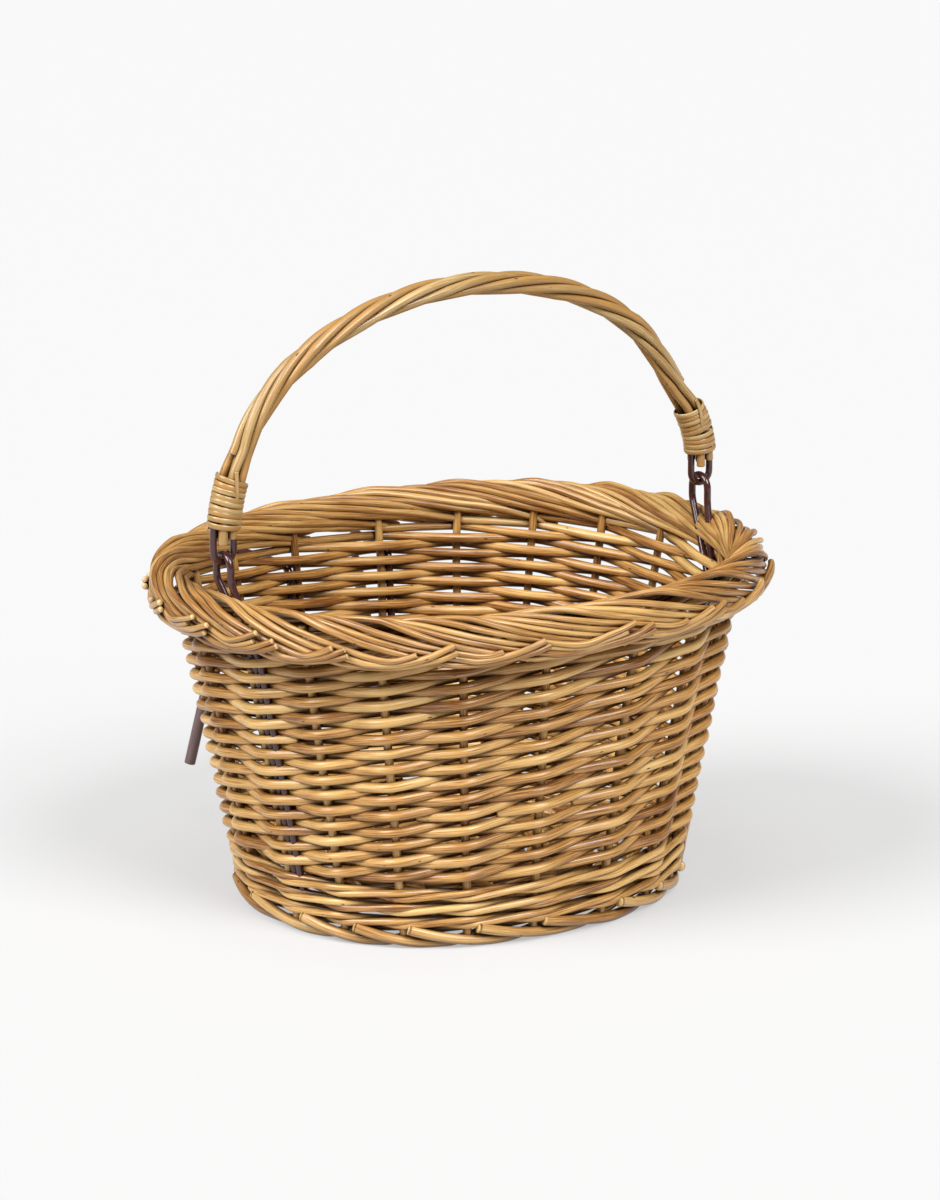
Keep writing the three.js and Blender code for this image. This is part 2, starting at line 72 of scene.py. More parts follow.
STAKES = sum(name.startswith("stake_") for name in frame["nodes"])
STAKE_STEP = 2 * math.pi / STAKES
RIM_LOW, RIM_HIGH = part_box("rim_border")
FOOT_LOW, FOOT_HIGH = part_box("foot_border")
TOP_LOW, TOP_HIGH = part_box("randing_upper")
BASE_LOW, BASE_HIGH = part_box("base_weave")
CORE_LOW, CORE_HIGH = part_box("handle_core")
CENTRE_Y = (RIM_LOW.y + RIM_HIGH.y) / 2
FOOT_Z = FOOT_HIGH.z
WALL_TOP = TOP_HIGH.z
FOOT_HALF = (FOOT_HIGH.x, (FOOT_HIGH.y - FOOT_LOW.y) / 2)
TOP_HALF = (TOP_HIGH.x, (TOP_HIGH.y - TOP_LOW.y) / 2)
WALL_HALF = 5.5 * MM  # half of the frame wall's thickness
OVAL_POWER = 2.2  # 2 is an ellipse, more is squarer
HINGE = Vector(frame["joints"][0]["pos_m"])


LONGEST_BEND = 0.45  # share of a straight run that the bend at its end may take

# ---- small geometry helpers -------------------------------------------------------------


def curve_through(knots, at):
    """A smooth curve through knots numbered 0, 1, 2 and so on, read at the places given."""
    knots = np.asarray(knots, float)
    last = len(knots) - 1
    place = np.clip(np.asarray(at, float), 0, last - 1e-9)
    index = place.astype(int)
    share = place - index
    if knots.ndim > 1:
        share = share[:, None]
    before = knots[np.maximum(index - 1, 0)]
    here = knots[index]
    there = knots[index + 1]
    after = knots[np.minimum(index + 2, last)]
    bend = 2 * before - 5 * here + 4 * there - after
    twist = 3 * here - before - 3 * there + after
    return here + 0.5 * share * (there - before + share * (bend + share * twist))


def wobble(random, count, knots, size):
    """Gentle random wandering along a rod of that many points."""
    return curve_through(random.normal(0, size, knots + 1), np.linspace(0, knots, count))


def ease(value):
    """Smooth step from 0 to 1."""
    value = np.clip(value, 0, 1)
    return value * value * (3 - 2 * value)


def unit(vectors):
    return vectors / np.linalg.norm(vectors, axis=-1, keepdims=True)


def signed_power(value, power):
    return np.sign(value) * np.abs(value) ** power


def wall_points(turn, height, out):
    """Points of the wall. turn counts stakes, height is in metres, out is off the wall's middle."""
    turn, height, out = np.broadcast_arrays(*(np.asarray(v, float) for v in (turn, height, out)))
    angle = (turn + 0.5) * STAKE_STEP
    share = (height - FOOT_Z) / (WALL_TOP - FOOT_Z)
    half_x = FOOT_HALF[0] + share * (TOP_HALF[0] - FOOT_HALF[0]) - WALL_HALF + out
    half_y = FOOT_HALF[1] + share * (TOP_HALF[1] - FOOT_HALF[1]) - WALL_HALF + out
    x = half_x * signed_power(np.cos(angle), 2 / OVAL_POWER)
    y = half_y * signed_power(np.sin(angle), 2 / OVAL_POWER)
    return np.stack([x, CENTRE_Y + y, height], axis=-1)


def wall_along(turn, height):
    """Unit vectors along the wall, towards the next stake."""
    return unit(wall_points(turn + 0.02, height, 0) - wall_points(turn - 0.02, height, 0))


def wall_outward(turn, height):
    """Unit vectors square to the wall, pointing out and level."""
    return np.cross(wall_along(turn, height), (0.0, 0.0, 1.0))


def corner_bend(before, corner, after, reach, steps):
    """The bend at a corner, which starts and ends that far from it, or less if a run is short."""
    back, ahead = before - corner, after - corner
    start = corner + unit(back) * min(reach, LONGEST_BEND * np.linalg.norm(back))
    end = corner + unit(ahead) * min(reach, LONGEST_BEND * np.linalg.norm(ahead))
    share = np.linspace(0, 1, steps + 1)[:, None]
    low = start + (corner - start) * share
    high = corner + (end - corner) * share
    return low + (high - low) * share


def rounded(corners, radius):
    """A line through corners, with each inner corner rounded to that radius."""
    corners = np.asarray(corners, float)
    line = [corners[:1]]
    for before, corner, after in zip(corners, corners[1:], corners[2:]):
        back, ahead = before - corner, after - corner
        cosine = np.dot(unit(back), unit(ahead))
        reach = radius / math.tan(math.acos(max(-1.0, min(1.0, cosine))) / 2)
        reach = min(reach, LONGEST_BEND * min(np.linalg.norm(back), np.linalg.norm(ahead)))
        line.append(corner_bend(before, corner, after, reach, 8))
    line.append(corners[-1:])
    return np.concatenate(line)


def even_line(points, spacing):
    """The same line with its points at even distances."""
    lengths = np.linalg.norm(np.diff(points, axis=0), axis=1)
    distance = np.concatenate([[0], np.cumsum(lengths)])
    places = np.linspace(0, distance[-1], max(4, int(distance[-1] / spacing)))
    return np.stack([np.interp(places, distance, points[:, i]) for i in range(3)], axis=-1)


def bent_run(corners, reach, spacing):
    """Straight runs through the corners, bent round each one within the reach."""
    line = [corners[:1]]
    for before, corner, after in zip(corners, corners[1:], corners[2:]):
        line.append(corner_bend(before, corner, after, reach, 6))
    line.append(corners[-1:])
    return even_line(np.concatenate(line), spacing)


# ---- rods -------------------------------------------------------------------------------

BEVEL = 0.14  # share of the radius that a cut end's edge is worn back
ATLAS_GAP = 0.5 * MM  # between two rods' strips on the colour map
UV_NAME = "OFBake"
WOOD_LENGTH = 5000  # millimetres of wood, from which each rod is cut somewhere


class RodBundle:
    """Gathers swept rods into one mesh. Each rod is closed, with a cut face at both ends.

    The mesh keeps, at each point, the place in the rod's own wood as "grain" (millimetres along
    and across it), one random number for each rod as "rod", and "cut" on the end faces.
    """

    def __init__(self, seed):
        self.random = np.random.RandomState(seed)
        self.points = []
        self.faces = []
        self.grain = []
        self.rod = []
        self.cut = []
        self.places = []
        self.count = 0
        self.distance = 0.0
        self.widest = 0.0

    def add(self, line, radius, upright, sides=12, flatness=1.0):
        """Sweeps one rod along a line. upright is where the section's first axis points, and
        flatness is how thin the rod is that way, as a share of its radius."""
        line = np.asarray(line, float)
        radius = np.broadcast_to(np.asarray(radius, float), len(line))
        upright = np.broadcast_to(np.asarray(upright, float), line.shape)
        upright = np.pad(upright, ((2, 2), (0, 0)), mode="edge")
        line, radius, cut = self.with_cut_ends(line, radius)
        along = unit(np.gradient(line, axis=0))
        first = unit(upright - along * np.sum(upright * along, axis=1, keepdims=True))
        second = np.cross(along, first)
        angle = np.arange(sides) / sides * 2 * math.pi
        across = radius[:, None] * np.cos(angle) * flatness
        beside = radius[:, None] * np.sin(angle)
        rings = line[:, None, :] + across[..., None] * first[:, None, :]
        rings = rings + beside[..., None] * second[:, None, :]
        steps = np.linalg.norm(np.diff(line, axis=0), axis=1)
        distance = np.concatenate([[0], np.cumsum(steps)])
        wood = self.random.uniform(0, WOOD_LENGTH)
        lengthwise = np.broadcast_to(distance[:, None] / MM + wood, across.shape)
        grain = np.stack([lengthwise, across / MM, beside / MM], axis=-1)
        total = len(line) * sides + 2
        self.points += [rings.reshape(-1, 3), line[:1], line[-1:]]
        self.grain += [grain.reshape(-1, 3), [[wood, 0, 0]], [[wood + distance[-1] / MM, 0, 0]]]
        self.rod.append(np.full(total, self.random.uniform(0, 1)))
        self.cut.append(np.concatenate([np.repeat(cut, sides), [1, 1]]))
        self.add_faces(self.count, sides, distance, radius)
        self.count += total

    @staticmethod
    def with_cut_ends(line, radius):
        """Adds the worn edge of the cut face at both ends, which is two more points at each."""
        points, sizes = [line[1:-1]], [radius[1:-1]]
        for tip, inward, size in ((0, 1, radius[0]), (-1, -2, radius[-1])):
            way = unit(line[inward] - line[tip])
            end = [line[tip], line[tip] + way * size * BEVEL, line[tip] + way * size * 3 * BEVEL]
            worn = [size * (1 - BEVEL), size, size]
            if tip == 0:
                points, sizes = [end] + points, [worn] + sizes
            else:
                points, sizes = points + [end[::-1]], sizes + [worn[::-1]]
        cut = np.zeros(len(line) + 4)
        cut[[0, -1]] = 1
        return np.concatenate(points), np.concatenate(sizes), cut

    def add_faces(self, base, sides, distance, radius):
        """The sides and the two cut faces of one rod, and their places on the colour map."""
        rings = len(distance)
        ring, side = np.meshgrid(np.arange(rings - 1), np.arange(sides), indexing="ij")
        width = 2 * math.pi * radius.max()
        start = self.distance + radius[0]
        stop = start + distance[-1]
        corners, places = [], []
        for far, wide in ((0, 0), (0, 1), (1, 1), (1, 0)):
            corners.append(base + (ring + far) * sides + (side + wide) % sides)
            place = [start + distance[ring + far], (side + wide) / sides * width]
            places.append(np.stack(place, axis=-1).reshape(-1, 2))
        self.faces += np.stack(corners, axis=-1).reshape(-1, 4).tolist()
        self.places.append(np.stack(places, axis=1).reshape(-1, 2))
        middle = base + rings * sides
        last = base + (rings - 1) * sides
        caps = (
            (middle, base, start, start - radius[0], (1, 0)),
            (middle + 1, last, stop, stop + radius[-1], (0, 1)),
        )
        for centre, edge, place, beyond, order in caps:
            for k in range(sides):
                self.faces.append([centre] + [edge + (k + step) % sides for step in order])
                ends = [[place, (k + step) / sides * width] for step in order]
                self.places.append(np.array([[beyond, (k + 0.5) / sides * width]] + ends))
        self.distance = stop + radius[-1] + ATLAS_GAP
        self.widest = max(self.widest, width)

    def unwrap(self, mesh):
        """Lays the rods' strips side by side on the colour map."""
        places = np.concatenate(self.places)
        totals = np.empty(len(mesh.polygons), np.int32)
        mesh.polygons.foreach_get("loop_total", totals)
        starts = np.concatenate([[0], np.cumsum(totals)[:-1]])
        first = np.minimum.reduceat(places[:, 0], starts)
        last = np.maximum.reduceat(places[:, 0], starts)
        row_height = self.widest + ATLAS_GAP
        row_length = math.sqrt(self.distance * row_height)
        row = np.repeat(np.floor(first / row_length), totals)
        span = row_length + (last - first).max()
        rows = math.floor(self.distance / row_length) + 1
        u = (places[:, 0] - row * row_length) / span
        v = (row * row_height + places[:, 1]) / (rows * row_height)
        layer = mesh.uv_layers.new(name=UV_NAME)
        layer.data.foreach_set("uv", np.stack([u, v], axis=-1).astype(np.float32).ravel())

    def build(self, name, body, slot, node):
        """Makes the object in its slot's finish, hangs it on its body and hides the frame part that
        it stands for.
        """
        mesh = bpy.data.meshes.new(name)
        mesh.from_pydata(np.concatenate(self.points).tolist(), [], self.faces)
        mesh.polygons.foreach_set("use_smooth", np.ones(len(mesh.polygons), bool))
        grain = np.concatenate(self.grain)
        vectors = mesh.attributes.new("grain", "FLOAT_VECTOR", "POINT")
        vectors.data.foreach_set("vector", grain.astype(np.float32).ravel())
        for key, parts in (("rod", self.rod), ("cut", self.cut)):
            values = mesh.attributes.new(key, "FLOAT", "POINT")
            values.data.foreach_set("value", np.concatenate(parts).astype(np.float32))
        self.unwrap(mesh)
        mesh.materials.append(finish_of(slot))
        mesh.update()
        piece = bpy.data.objects.new(name, mesh)
        bpy.context.scene.collection.objects.link(piece)
        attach(piece, body)
        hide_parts(node)


def rod_radius(random, count, butt, tip):
    """The radius along a willow rod: a taper from butt to tip, uneven by about 2 percent."""
    taper = np.linspace(butt, tip, count)
    return taper * (1 + wobble(random, count, max(3, count // 9), 0.022))


# ---- materials --------------------------------------------------------------------------


def linear(hex_colour):
    """An sRGB hex colour as linear red, green, blue."""
    channels = [int(hex_colour[i : i + 2], 16) / 255 for i in (1, 3, 5)]
    return tuple(c / 12.92 if c <= 0.04045 else ((c + 0.055) / 1.055) ** 2.4 for c in channels)


def add_node(material, kind, *inputs, **settings):
    """Adds a node. The inputs go to its first sockets in order. A setting goes to the socket of
    that name, or else to the node itself. Each is a value, or another node's output to link."""
    tree = material.node_tree
    node = tree.nodes.new(kind)
    names = [socket.name.lower().replace(" ", "_") for socket in node.inputs]
    for key in [key for key in settings if key not in names]:
        setattr(node, key, settings.pop(key))
    sockets = [socket for socket in node.inputs if socket.enabled]
    named = {}
    for socket in sockets:
        named.setdefault(socket.name.lower().replace(" ", "_"), socket)
    given = [(named[key], value) for key, value in settings.items()]
    for socket, value in list(zip(sockets, inputs)) + given:
        if isinstance(value, bpy.types.NodeSocket):
            tree.links.new(value, socket)
        else:
            socket.default_value = value
    return node


def new_material(name):
    """A material with no nodes yet."""
    material = bpy.data.materials.new(name)
    material.use_nodes = True
    material.node_tree.nodes.clear()
    return material


def set_ramp(node, stops):
    """Gives a colour ramp its stops, as pairs of a place and a linear colour."""
    ramp = node.color_ramp
    while len(ramp.elements) < len(stops):
        ramp.elements.new(0.5)
    for element, (place, colour) in zip(ramp.elements, stops):
        element.position = place
        element.color = (*colour, 1)


FIBRE_LENGTH = 20.0  # millimetres, of a streak in the wood
FIBRE_WIDTH = 0.6  # real fibres are finer than 0.1 mm: drawn as coarse as they need to show
PATCH_LENGTH = 60.0  # millimetres, of a patch where the colour drifts
PATCH_WIDTH = 11.11  # millimetres, wider than the rod, so that a patch goes right round it
ROD_SHARE = 0.19  # of the tone, from one rod to the next
PATCH_SHARE = 0.33
FIBRE_SHARE = 0.68
TONE_STOPS = (0.44, 0.57, 0.74)  # the tones of the dark, middle and pale colours
BUD_SPACING = 13.0  # millimetres along the rod, between the places where a bud may have been
BUD_WIDTH = 4.5  # millimetres across the rod, between those places
BUD_SIZE = 0.1  # radius of a bud's scar, as a share of both
BUD_CHANCE = 0.52  # places below this have no bud
BUD_COLOUR = "#5A3517"
CUT_COLOUR = "#D6B57C"
PAINTED_SHADE_REACH = 9.0  # millimetres that the ambient occlusion reaches: within it, crevices between rods get painted shade
# colour of the painted shade in the crevices between rods
PAINTED_SHADE_COLOUR = "#4A2709"
SCUFF_LENGTH = 12.5  # millimetres, of a scuff along a sleeve
SCUFF_WIDTH = 0.8333
SCUFF_SHADES = ((0.35, 0.8), (0.65, 1.15))  # where on the noise, and the share of the colour
COAT_WAVE = 0.35  # waves in each millimetre of the steel's coat

# Each willow's darkest, middle and palest colours, as the settings name them, and its roughness.
WILLOWS = {
    # peeled weavers: strong light and dark streaks, and a satin skin
    "Buff willow siding": ("dark", "middle", "light", 0.36),
    # peeled top rods, a little darker than the siding: in part painted shade for the dark gaps in
    # the plait, so the plait stands off the wall
    "Buff willow border": ("dark", "border", "border_light", 0.36),
    # peeled rods worn by the hand: paler, with gentle streaks
    "Buff willow handle": ("middle", "handle", "handle_light", 0.36),
    # rods split in thin strips and shaved: as pale as the handle, and a little glossier
    "Split willow skein": ("middle", "handle", "handle_light", 0.32),
}


def willow(name):
    """Buff willow: rods boiled in their bark and peeled, which leaves a satin honey-tan skin with
    long fibre streaks, small dark bud scars and pale cut ends."""
    *shades, roughness = WILLOWS[name]
    shades = [tuple(getattr(bpy.context.scene.basket_colours, shade)) for shade in shades]
    material = new_material(name)
    grain = add_node(material, "ShaderNodeAttribute", attribute_name="grain")
    rod = add_node(material, "ShaderNodeAttribute", attribute_name="rod")
    cut = add_node(material, "ShaderNodeAttribute", attribute_name="cut")
    places = []
    for length, width in (
        (FIBRE_LENGTH, FIBRE_WIDTH),
        (PATCH_LENGTH, PATCH_WIDTH),
        (BUD_SPACING, BUD_WIDTH),
    ):
        place = add_node(
            material,
            "ShaderNodeMapping",
            grain.outputs["Vector"],
            scale=(1 / length, 1 / width, 1 / width),
        )
        places.append(place.outputs[0])
    fibre = add_node(
        material, "ShaderNodeTexNoise", places[0], scale=1.0, detail=3.0, roughness=0.6
    ).outputs["Fac"]
    patch = add_node(
        material, "ShaderNodeTexNoise", places[1], scale=1.0, detail=2.0, roughness=0.5
    ).outputs["Fac"]
    tone = add_node(
        material, "ShaderNodeMath", rod.outputs["Fac"], ROD_SHARE, operation="MULTIPLY"
    )
    for source, share in ((patch, PATCH_SHARE), (fibre, FIBRE_SHARE)):
        tone = add_node(
            material, "ShaderNodeMath", source, share, tone.outputs[0], operation="MULTIPLY_ADD"
        )
    ramp = add_node(material, "ShaderNodeValToRGB", tone.outputs[0])
    set_ramp(ramp, list(zip(TONE_STOPS, shades)))
    bud = add_node(material, "ShaderNodeTexVoronoi", places[2], scale=1.0)
    scar = add_node(
        material, "ShaderNodeMath", bud.outputs["Distance"], BUD_SIZE, operation="LESS_THAN"
    )
    chosen = add_node(
        material, "ShaderNodeMath", bud.outputs["Color"], BUD_CHANCE, operation="GREATER_THAN"
    )
    scarred = add_node(
        material, "ShaderNodeMath", scar.outputs[0], chosen.outputs[0], operation="MULTIPLY"
    )
    # painted shade: the willow darkens towards the shade colour where ambient occlusion finds rods
    # close by
    open_air = add_node(
        material, "ShaderNodeAmbientOcclusion", samples=6, distance=PAINTED_SHADE_REACH * MM
    )
    painted_shade = add_node(
        material,
        "ShaderNodeMapRange",
        open_air.outputs["AO"],
        from_min=0.15,
        from_max=0.75,
        to_min=0.88,
        to_max=0.0,
    )
    colour = ramp.outputs["Color"]
    for share, shade in (
        (scarred.outputs[0], BUD_COLOUR),
        (cut.outputs["Fac"], CUT_COLOUR),
        (painted_shade.outputs[0], PAINTED_SHADE_COLOUR),
    ):
        mixed = add_node(
            material,
            "ShaderNodeMix",
            data_type="RGBA",
            factor=share,
            a=colour,
            b=(*linear(shade), 1),
        )
        colour = next(socket for socket in mixed.outputs if socket.enabled)
    gloss = add_node(
        material,
        "ShaderNodeMapRange",
        patch,
        from_min=0.3,
        from_max=0.7,
        to_min=roughness - 0.07,
        to_max=roughness + 0.09,
    )
    bump = add_node(material, "ShaderNodeBump", height=fibre, strength=0.6, distance=0.2 * MM)
    shader = add_node(
        material,
        "ShaderNodeBsdfPrincipled",
        base_color=colour,
        roughness=gloss.outputs[0],
        normal=bump.outputs["Normal"],
        ior=1.5,
        coat_weight=0.3,
        coat_roughness=0.26,
    )
    add_node(material, "ShaderNodeOutputMaterial", shader.outputs["BSDF"])
    return material


def coated_steel(name):
    """Mild steel rod with a fused PVC coat: dark brown, smooth and glossy, with faint waves."""
    material = new_material(name)
    grain = add_node(material, "ShaderNodeAttribute", attribute_name="grain")
    wave = add_node(
        material, "ShaderNodeTexNoise", grain.outputs["Vector"], scale=COAT_WAVE, detail=2.0
    ).outputs["Fac"]
    bump = add_node(material, "ShaderNodeBump", height=wave, strength=0.3, distance=0.2 * MM)
    gloss = add_node(material, "ShaderNodeMapRange", wave, to_min=0.14, to_max=0.3)
    shader = add_node(
        material,
        "ShaderNodeBsdfPrincipled",
        base_color=(*bpy.context.scene.basket_colours.steel, 1),
        roughness=gloss.outputs[0],
        normal=bump.outputs["Normal"],
        ior=1.5,
        coat_weight=0.35,
        coat_roughness=0.08,
    )
    add_node(material, "ShaderNodeOutputMaterial", shader.outputs["BSDF"])
    return material


def sleeve_plastic(name):
    """Extruded soft PVC tube: matt brown-grey, with fine scuffs along it."""
    material = new_material(name)
    grain = add_node(material, "ShaderNodeAttribute", attribute_name="grain")
    place = add_node(
        material,
        "ShaderNodeMapping",
        grain.outputs["Vector"],
        scale=(1 / SCUFF_LENGTH, 1 / SCUFF_WIDTH, 1 / SCUFF_WIDTH),
    )
    scuff = add_node(
        material, "ShaderNodeTexNoise", place.outputs[0], scale=1.0, detail=3.0
    ).outputs["Fac"]
    ramp = add_node(material, "ShaderNodeValToRGB", scuff)
    base = bpy.context.scene.basket_colours.sleeve
    set_ramp(ramp, [(place, [share * c for c in base]) for place, share in SCUFF_SHADES])
    bump = add_node(material, "ShaderNodeBump", height=scuff, strength=0.25, distance=0.1 * MM)
    shader = add_node(
        material,
        "ShaderNodeBsdfPrincipled",
        base_color=ramp.outputs["Color"],
        roughness=0.55,
        normal=bump.outputs["Normal"],
        ior=1.5,
    )
    add_node(material, "ShaderNodeOutputMaterial", shader.outputs["BSDF"])
    return material


# The material of each of the record's finish slots, and what makes it.
FINISHES = {
    "peeled_rod": ("Buff willow siding", willow),
    "siding_willow": ("Buff willow siding", willow),
    "border_willow": ("Buff willow border", willow),
    "handle_willow": ("Buff willow handle", willow),
    "skein_willow": ("Split willow skein", willow),
    "coated_steel": ("PVC-coated steel", coated_steel),
    "sleeve_plastic": ("Extruded soft PVC", sleeve_plastic),
}


def finish_of(slot):
    """The slot's material, made when it is first asked for."""
    name, make = FINISHES[slot]
    return bpy.data.materials.get(name) or make(name)


# ---- properties -------------------------------------------------------------------------


def size(name, description, millimetres):
    return FloatProperty(
        name=name,
        description=description,
        default=millimetres * MM,
        min=0.1 * MM,
        precision=5,
        unit="LENGTH",
    )


def colour(name, description, hex_colour):
    return FloatVectorProperty(
        name=name,
        description=description,
        default=linear(hex_colour),
        min=0,
        max=1,
        subtype="COLOR",
    )


class BasketSizes(PropertyGroup):
    """Diameters of the rods, and how the weaving is counted."""

    stake: size("Stake", "Diameter of an upright stake", 5.2)
    weaver_butt: size("Weaver butt", "Diameter of a wall weaver at its thick end", 6.0)
    weaver_tip: size("Weaver tip", "Diameter of a wall weaver at its thin end", 5.2)
    wale: size("Waling rod", "Diameter of a waling rod above the foot", 4.2)
    foot: size("Foot rod", "Diameter of a foot border rod", 5.8)
    border: size("Border rod", "Diameter of a plaited border rod", 4.3)
    base_stick: size("Base stick", "Diameter of a short base stick", 6.6)
    base_weaver: size("Base weaver", "Diameter of a base weaver", 3.8)
    handle: size("Handle rod", "Diameter of a twisted handle rod", 5.15)
    skein: size("Skein", "Width of the split willow round the handle's ends", 3.1)
    eye: size("Eye rod", "Diameter of the steel eyes", 4.2)
    staple: size("Staple rod", "Diameter of the handle's staples", 4.0)
    hook: size("Hook rod", "Diameter of the handlebar hooks", 4.8)
    sleeve: size("Hook sleeve", "Outside diameter of the sleeve on a hook", 6.6)
    wale_rounds: IntProperty(
        name="Waling rounds", description="Rounds of three-rod waling", default=3, min=1
    )
    whipping_turns: IntProperty(
        name="Whipping turns", description="Turns of skein at each handle end", default=9, min=3
    )


class BasketColours(PropertyGroup):
    """Colours of the finishes."""

    dark: colour("Willow dark", "Darkest streaks of the buff willow", "#73431A")
    middle: colour("Willow middle", "Main colour of the buff willow", "#B58342")
    light: colour("Willow light", "Palest streaks of the buff willow", "#DCB673")
    # the border's colours are darker than the siding's, in part as painted shade for the dark gaps
    # in the plait
    border: colour("Border willow", "Main colour of the border's rods", "#A17239")
    border_light: colour("Border streaks", "Palest streaks of the border's rods", "#CDA565")
    handle: colour("Handle willow", "Main colour of the handle's paler rods", "#9A7540")
    handle_light: colour("Handle streaks", "Palest streaks of the handle's rods", "#BFA26E")
    steel: colour("Coated steel", "Colour of the coat on the steel rods", "#40201E")
    sleeve: colour("Hook sleeve", "Colour of the plastic sleeves", "#6A5654")
    floor: colour("Floor", "Colour of the pale floor", "#F4F4F4")


# ---- stakes and base --------------------------------------------------------------------

STAKE_POINTS = 26  # along one stake
STAKE_TAPER = 0.92  # the tip's diameter, as a share of the butt's
STAKE_WANDER = 0.15 * MM


class BASKET_OT_stakes(Operator):
    """Set up the upright stakes of the wall"""

    bl_idname = "basket.stakes"
    bl_label = "Stakes"

    def execute(self, context):
        half = context.scene.basket_sizes.stake / 2
        for index in range(STAKES):
            node = f"stake_{index + 1:02d}"
            low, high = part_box(node)
            bundle = RodBundle(100 + index)
            random = bundle.random
            height = np.linspace(low.z + 2 * MM, high.z - 1 * MM, STAKE_POINTS)
            turn = index + wobble(random, STAKE_POINTS, 6, 0.006)
            line = wall_points(turn, height, wobble(random, STAKE_POINTS, 6, STAKE_WANDER))
            radius = rod_radius(random, STAKE_POINTS, half, half * STAKE_TAPER)
            bundle.add(line, radius, wall_outward(np.full(STAKE_POINTS, float(index)), height))
            bundle.build(f"upright_{index + 1:02d}", "basket", "peeled_rod", node)
        return {"FINISHED"}


BASE_ROUNDS = 22
BASE_ROUND_POINTS = 150
BASE_FIRST = 2.2  # the first round's size, in steps from one round to the next
BASE_STEPS = BASE_ROUNDS + 1.2
BASE_BED = 0.4 * MM  # how far a weaver beds into a stick that it crosses
BASE_START = 0.9  # radians from one round's start to the next one's
STICK_POINTS = 24


class BASKET_OT_base(Operator):
    """Lay the base sticks and weave the oval base round them"""

    bl_idname = "basket.base"
    bl_label = "Base"

    def execute(self, context):
        sizes = context.scene.basket_sizes
        middle = (BASE_LOW.z + BASE_HIGH.z) / 2
        short_places = []
        steps = np.linspace(-1, 1, STICK_POINTS)
        for name in sorted(frame["nodes"]):
            if not name.startswith("base_") or name == "base_weave":
                continue
            low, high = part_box(name)
            # each stick's seed comes from the letters of its name
            bundle = RodBundle(sum(map(ord, name)))
            if "long" in name:
                x = steps * high.x
                y = np.full(STICK_POINTS, (low.y + high.y) / 2)
                radius = (high.y - low.y) / 2 * 0.98
            else:
                x = np.full(STICK_POINTS, (low.x + high.x) / 2)
                y = CENTRE_Y + steps * (high.y - low.y) / 2
                radius = sizes.base_stick / 2
                short_places.append(float(x[0]))
            z = middle + wobble(bundle.random, STICK_POINTS, 5, STAKE_WANDER)
            line = np.stack([x, y, z], axis=-1)
            radius = rod_radius(bundle.random, STICK_POINTS, radius, radius * 0.94)
            bundle.add(line, radius, (0, 0, 1))
            bundle.build(name.replace("base_", "laid_"), "basket", "peeled_rod", name)
        self.weave(sizes, middle, short_places)
        return {"FINISHED"}

    def weave(self, sizes, middle, short_places):
        """Rounds of weaving, over and under the sticks in turn."""
        bundle = RodBundle(31)
        half = sizes.base_weaver / 2
        half_x = BASE_HIGH.x - half
        half_y = (BASE_HIGH.y - BASE_LOW.y) / 2 - half
        rise = sizes.base_stick / 2 + half - BASE_BED
        for index in range(BASE_ROUNDS):
            share = (index + BASE_FIRST) / BASE_STEPS
            # the angles where this round crosses the long sticks, at 0 and pi, and the short ones
            crossed = [x for x in short_places if abs(x) < half_x * share * 0.97]
            short = sorted(math.acos(inverse_power(x / half_x / share)) for x in crossed)
            angles = [0.0, *short, math.pi, *(2 * math.pi - a for a in reversed(short)), 2 * math.pi]
            angle = np.linspace(0, 2 * math.pi, BASE_ROUND_POINTS) + index * BASE_START
            number = np.interp(angle % (2 * math.pi), angles, np.arange(len(angles)))
            x = half_x * share * signed_power(np.cos(angle), 2 / OVAL_POWER)
            y = half_y * share * signed_power(np.sin(angle), 2 / OVAL_POWER)
            z = middle + rise * np.cos(math.pi * (number + index % 2))
            line = np.stack([x, CENTRE_Y + y, z], axis=-1)
            radius = rod_radius(bundle.random, BASE_ROUND_POINTS, half, half * 0.8)
            bundle.add(line, radius, (0, 0, 1), sides=8)
        bundle.build("woven_base", "basket", "siding_willow", "base_weave")


def inverse_power(value):
    """The cosine that the oval turns into the value."""
    return max(-1.0, min(1.0, math.copysign(abs(value) ** (OVAL_POWER / 2), value)))


# ---- foot and wall ----------------------------------------------------------------------

# One foot border rod, from beside its stake to its cut end: the place in stakes, how far it
# stands out from the wall's middle and its height, both in millimetres.
FOOT_PATH = (
    (1.0, -3.4, 11.0),
    (0.5, -3.2, 9.4),
    (0.1, -1.8, 5.6),
    (-0.35, 1.0, 2.9),
    (-0.85, 3.2, 3.6),
    (-1.35, 4.4, 7.0),
    (-1.8, 4.9, 11.4),
)
FOOT_POINTS = 60


class BASKET_OT_foot_border(Operator):
    """Lay the foot border, one thick rod from each stake with a cut end on the outside"""

    bl_idname = "basket.foot_border"
    bl_label = "Foot border"

    def execute(self, context):
        sizes = context.scene.basket_sizes
        bundle = RodBundle(41)
        half = sizes.foot / 2
        places = np.linspace(0, len(FOOT_PATH) - 1, FOOT_POINTS)
        back, out, height = curve_through(FOOT_PATH, places).T
        grown = ease(places / 6)
        for index in range(STAKES):
            turn = index + back + bundle.random.uniform(-0.12, 0.12) * grown
            z = (height + bundle.random.uniform(-0.6, 0.5) * grown) * MM
            line = wall_points(turn, np.maximum(z, half), out * MM)
            radius = rod_radius(bundle.random, FOOT_POINTS, half * 0.94, half * 1.03)
            bundle.add(line, radius, (0, 0, 1), sides=14)
        bundle.build("laid_foot_border", "basket", "border_willow", "foot_border")
        return {"FINISHED"}


WALE_DROP = 2 * MM  # the lowest round beds down among the foot's rods
WALE_BEND = 7 * MM  # each side of a stake, where a waling rod bends
WALE_STROKES = (7, 7, 6)  # that each of a round's three rods makes, three stakes to a stroke
WALE_SHIFT = 5  # stakes from one round's start to the next one's
WEAVER_SPACING = 3.4 * MM  # between two rings of a weaver's mesh


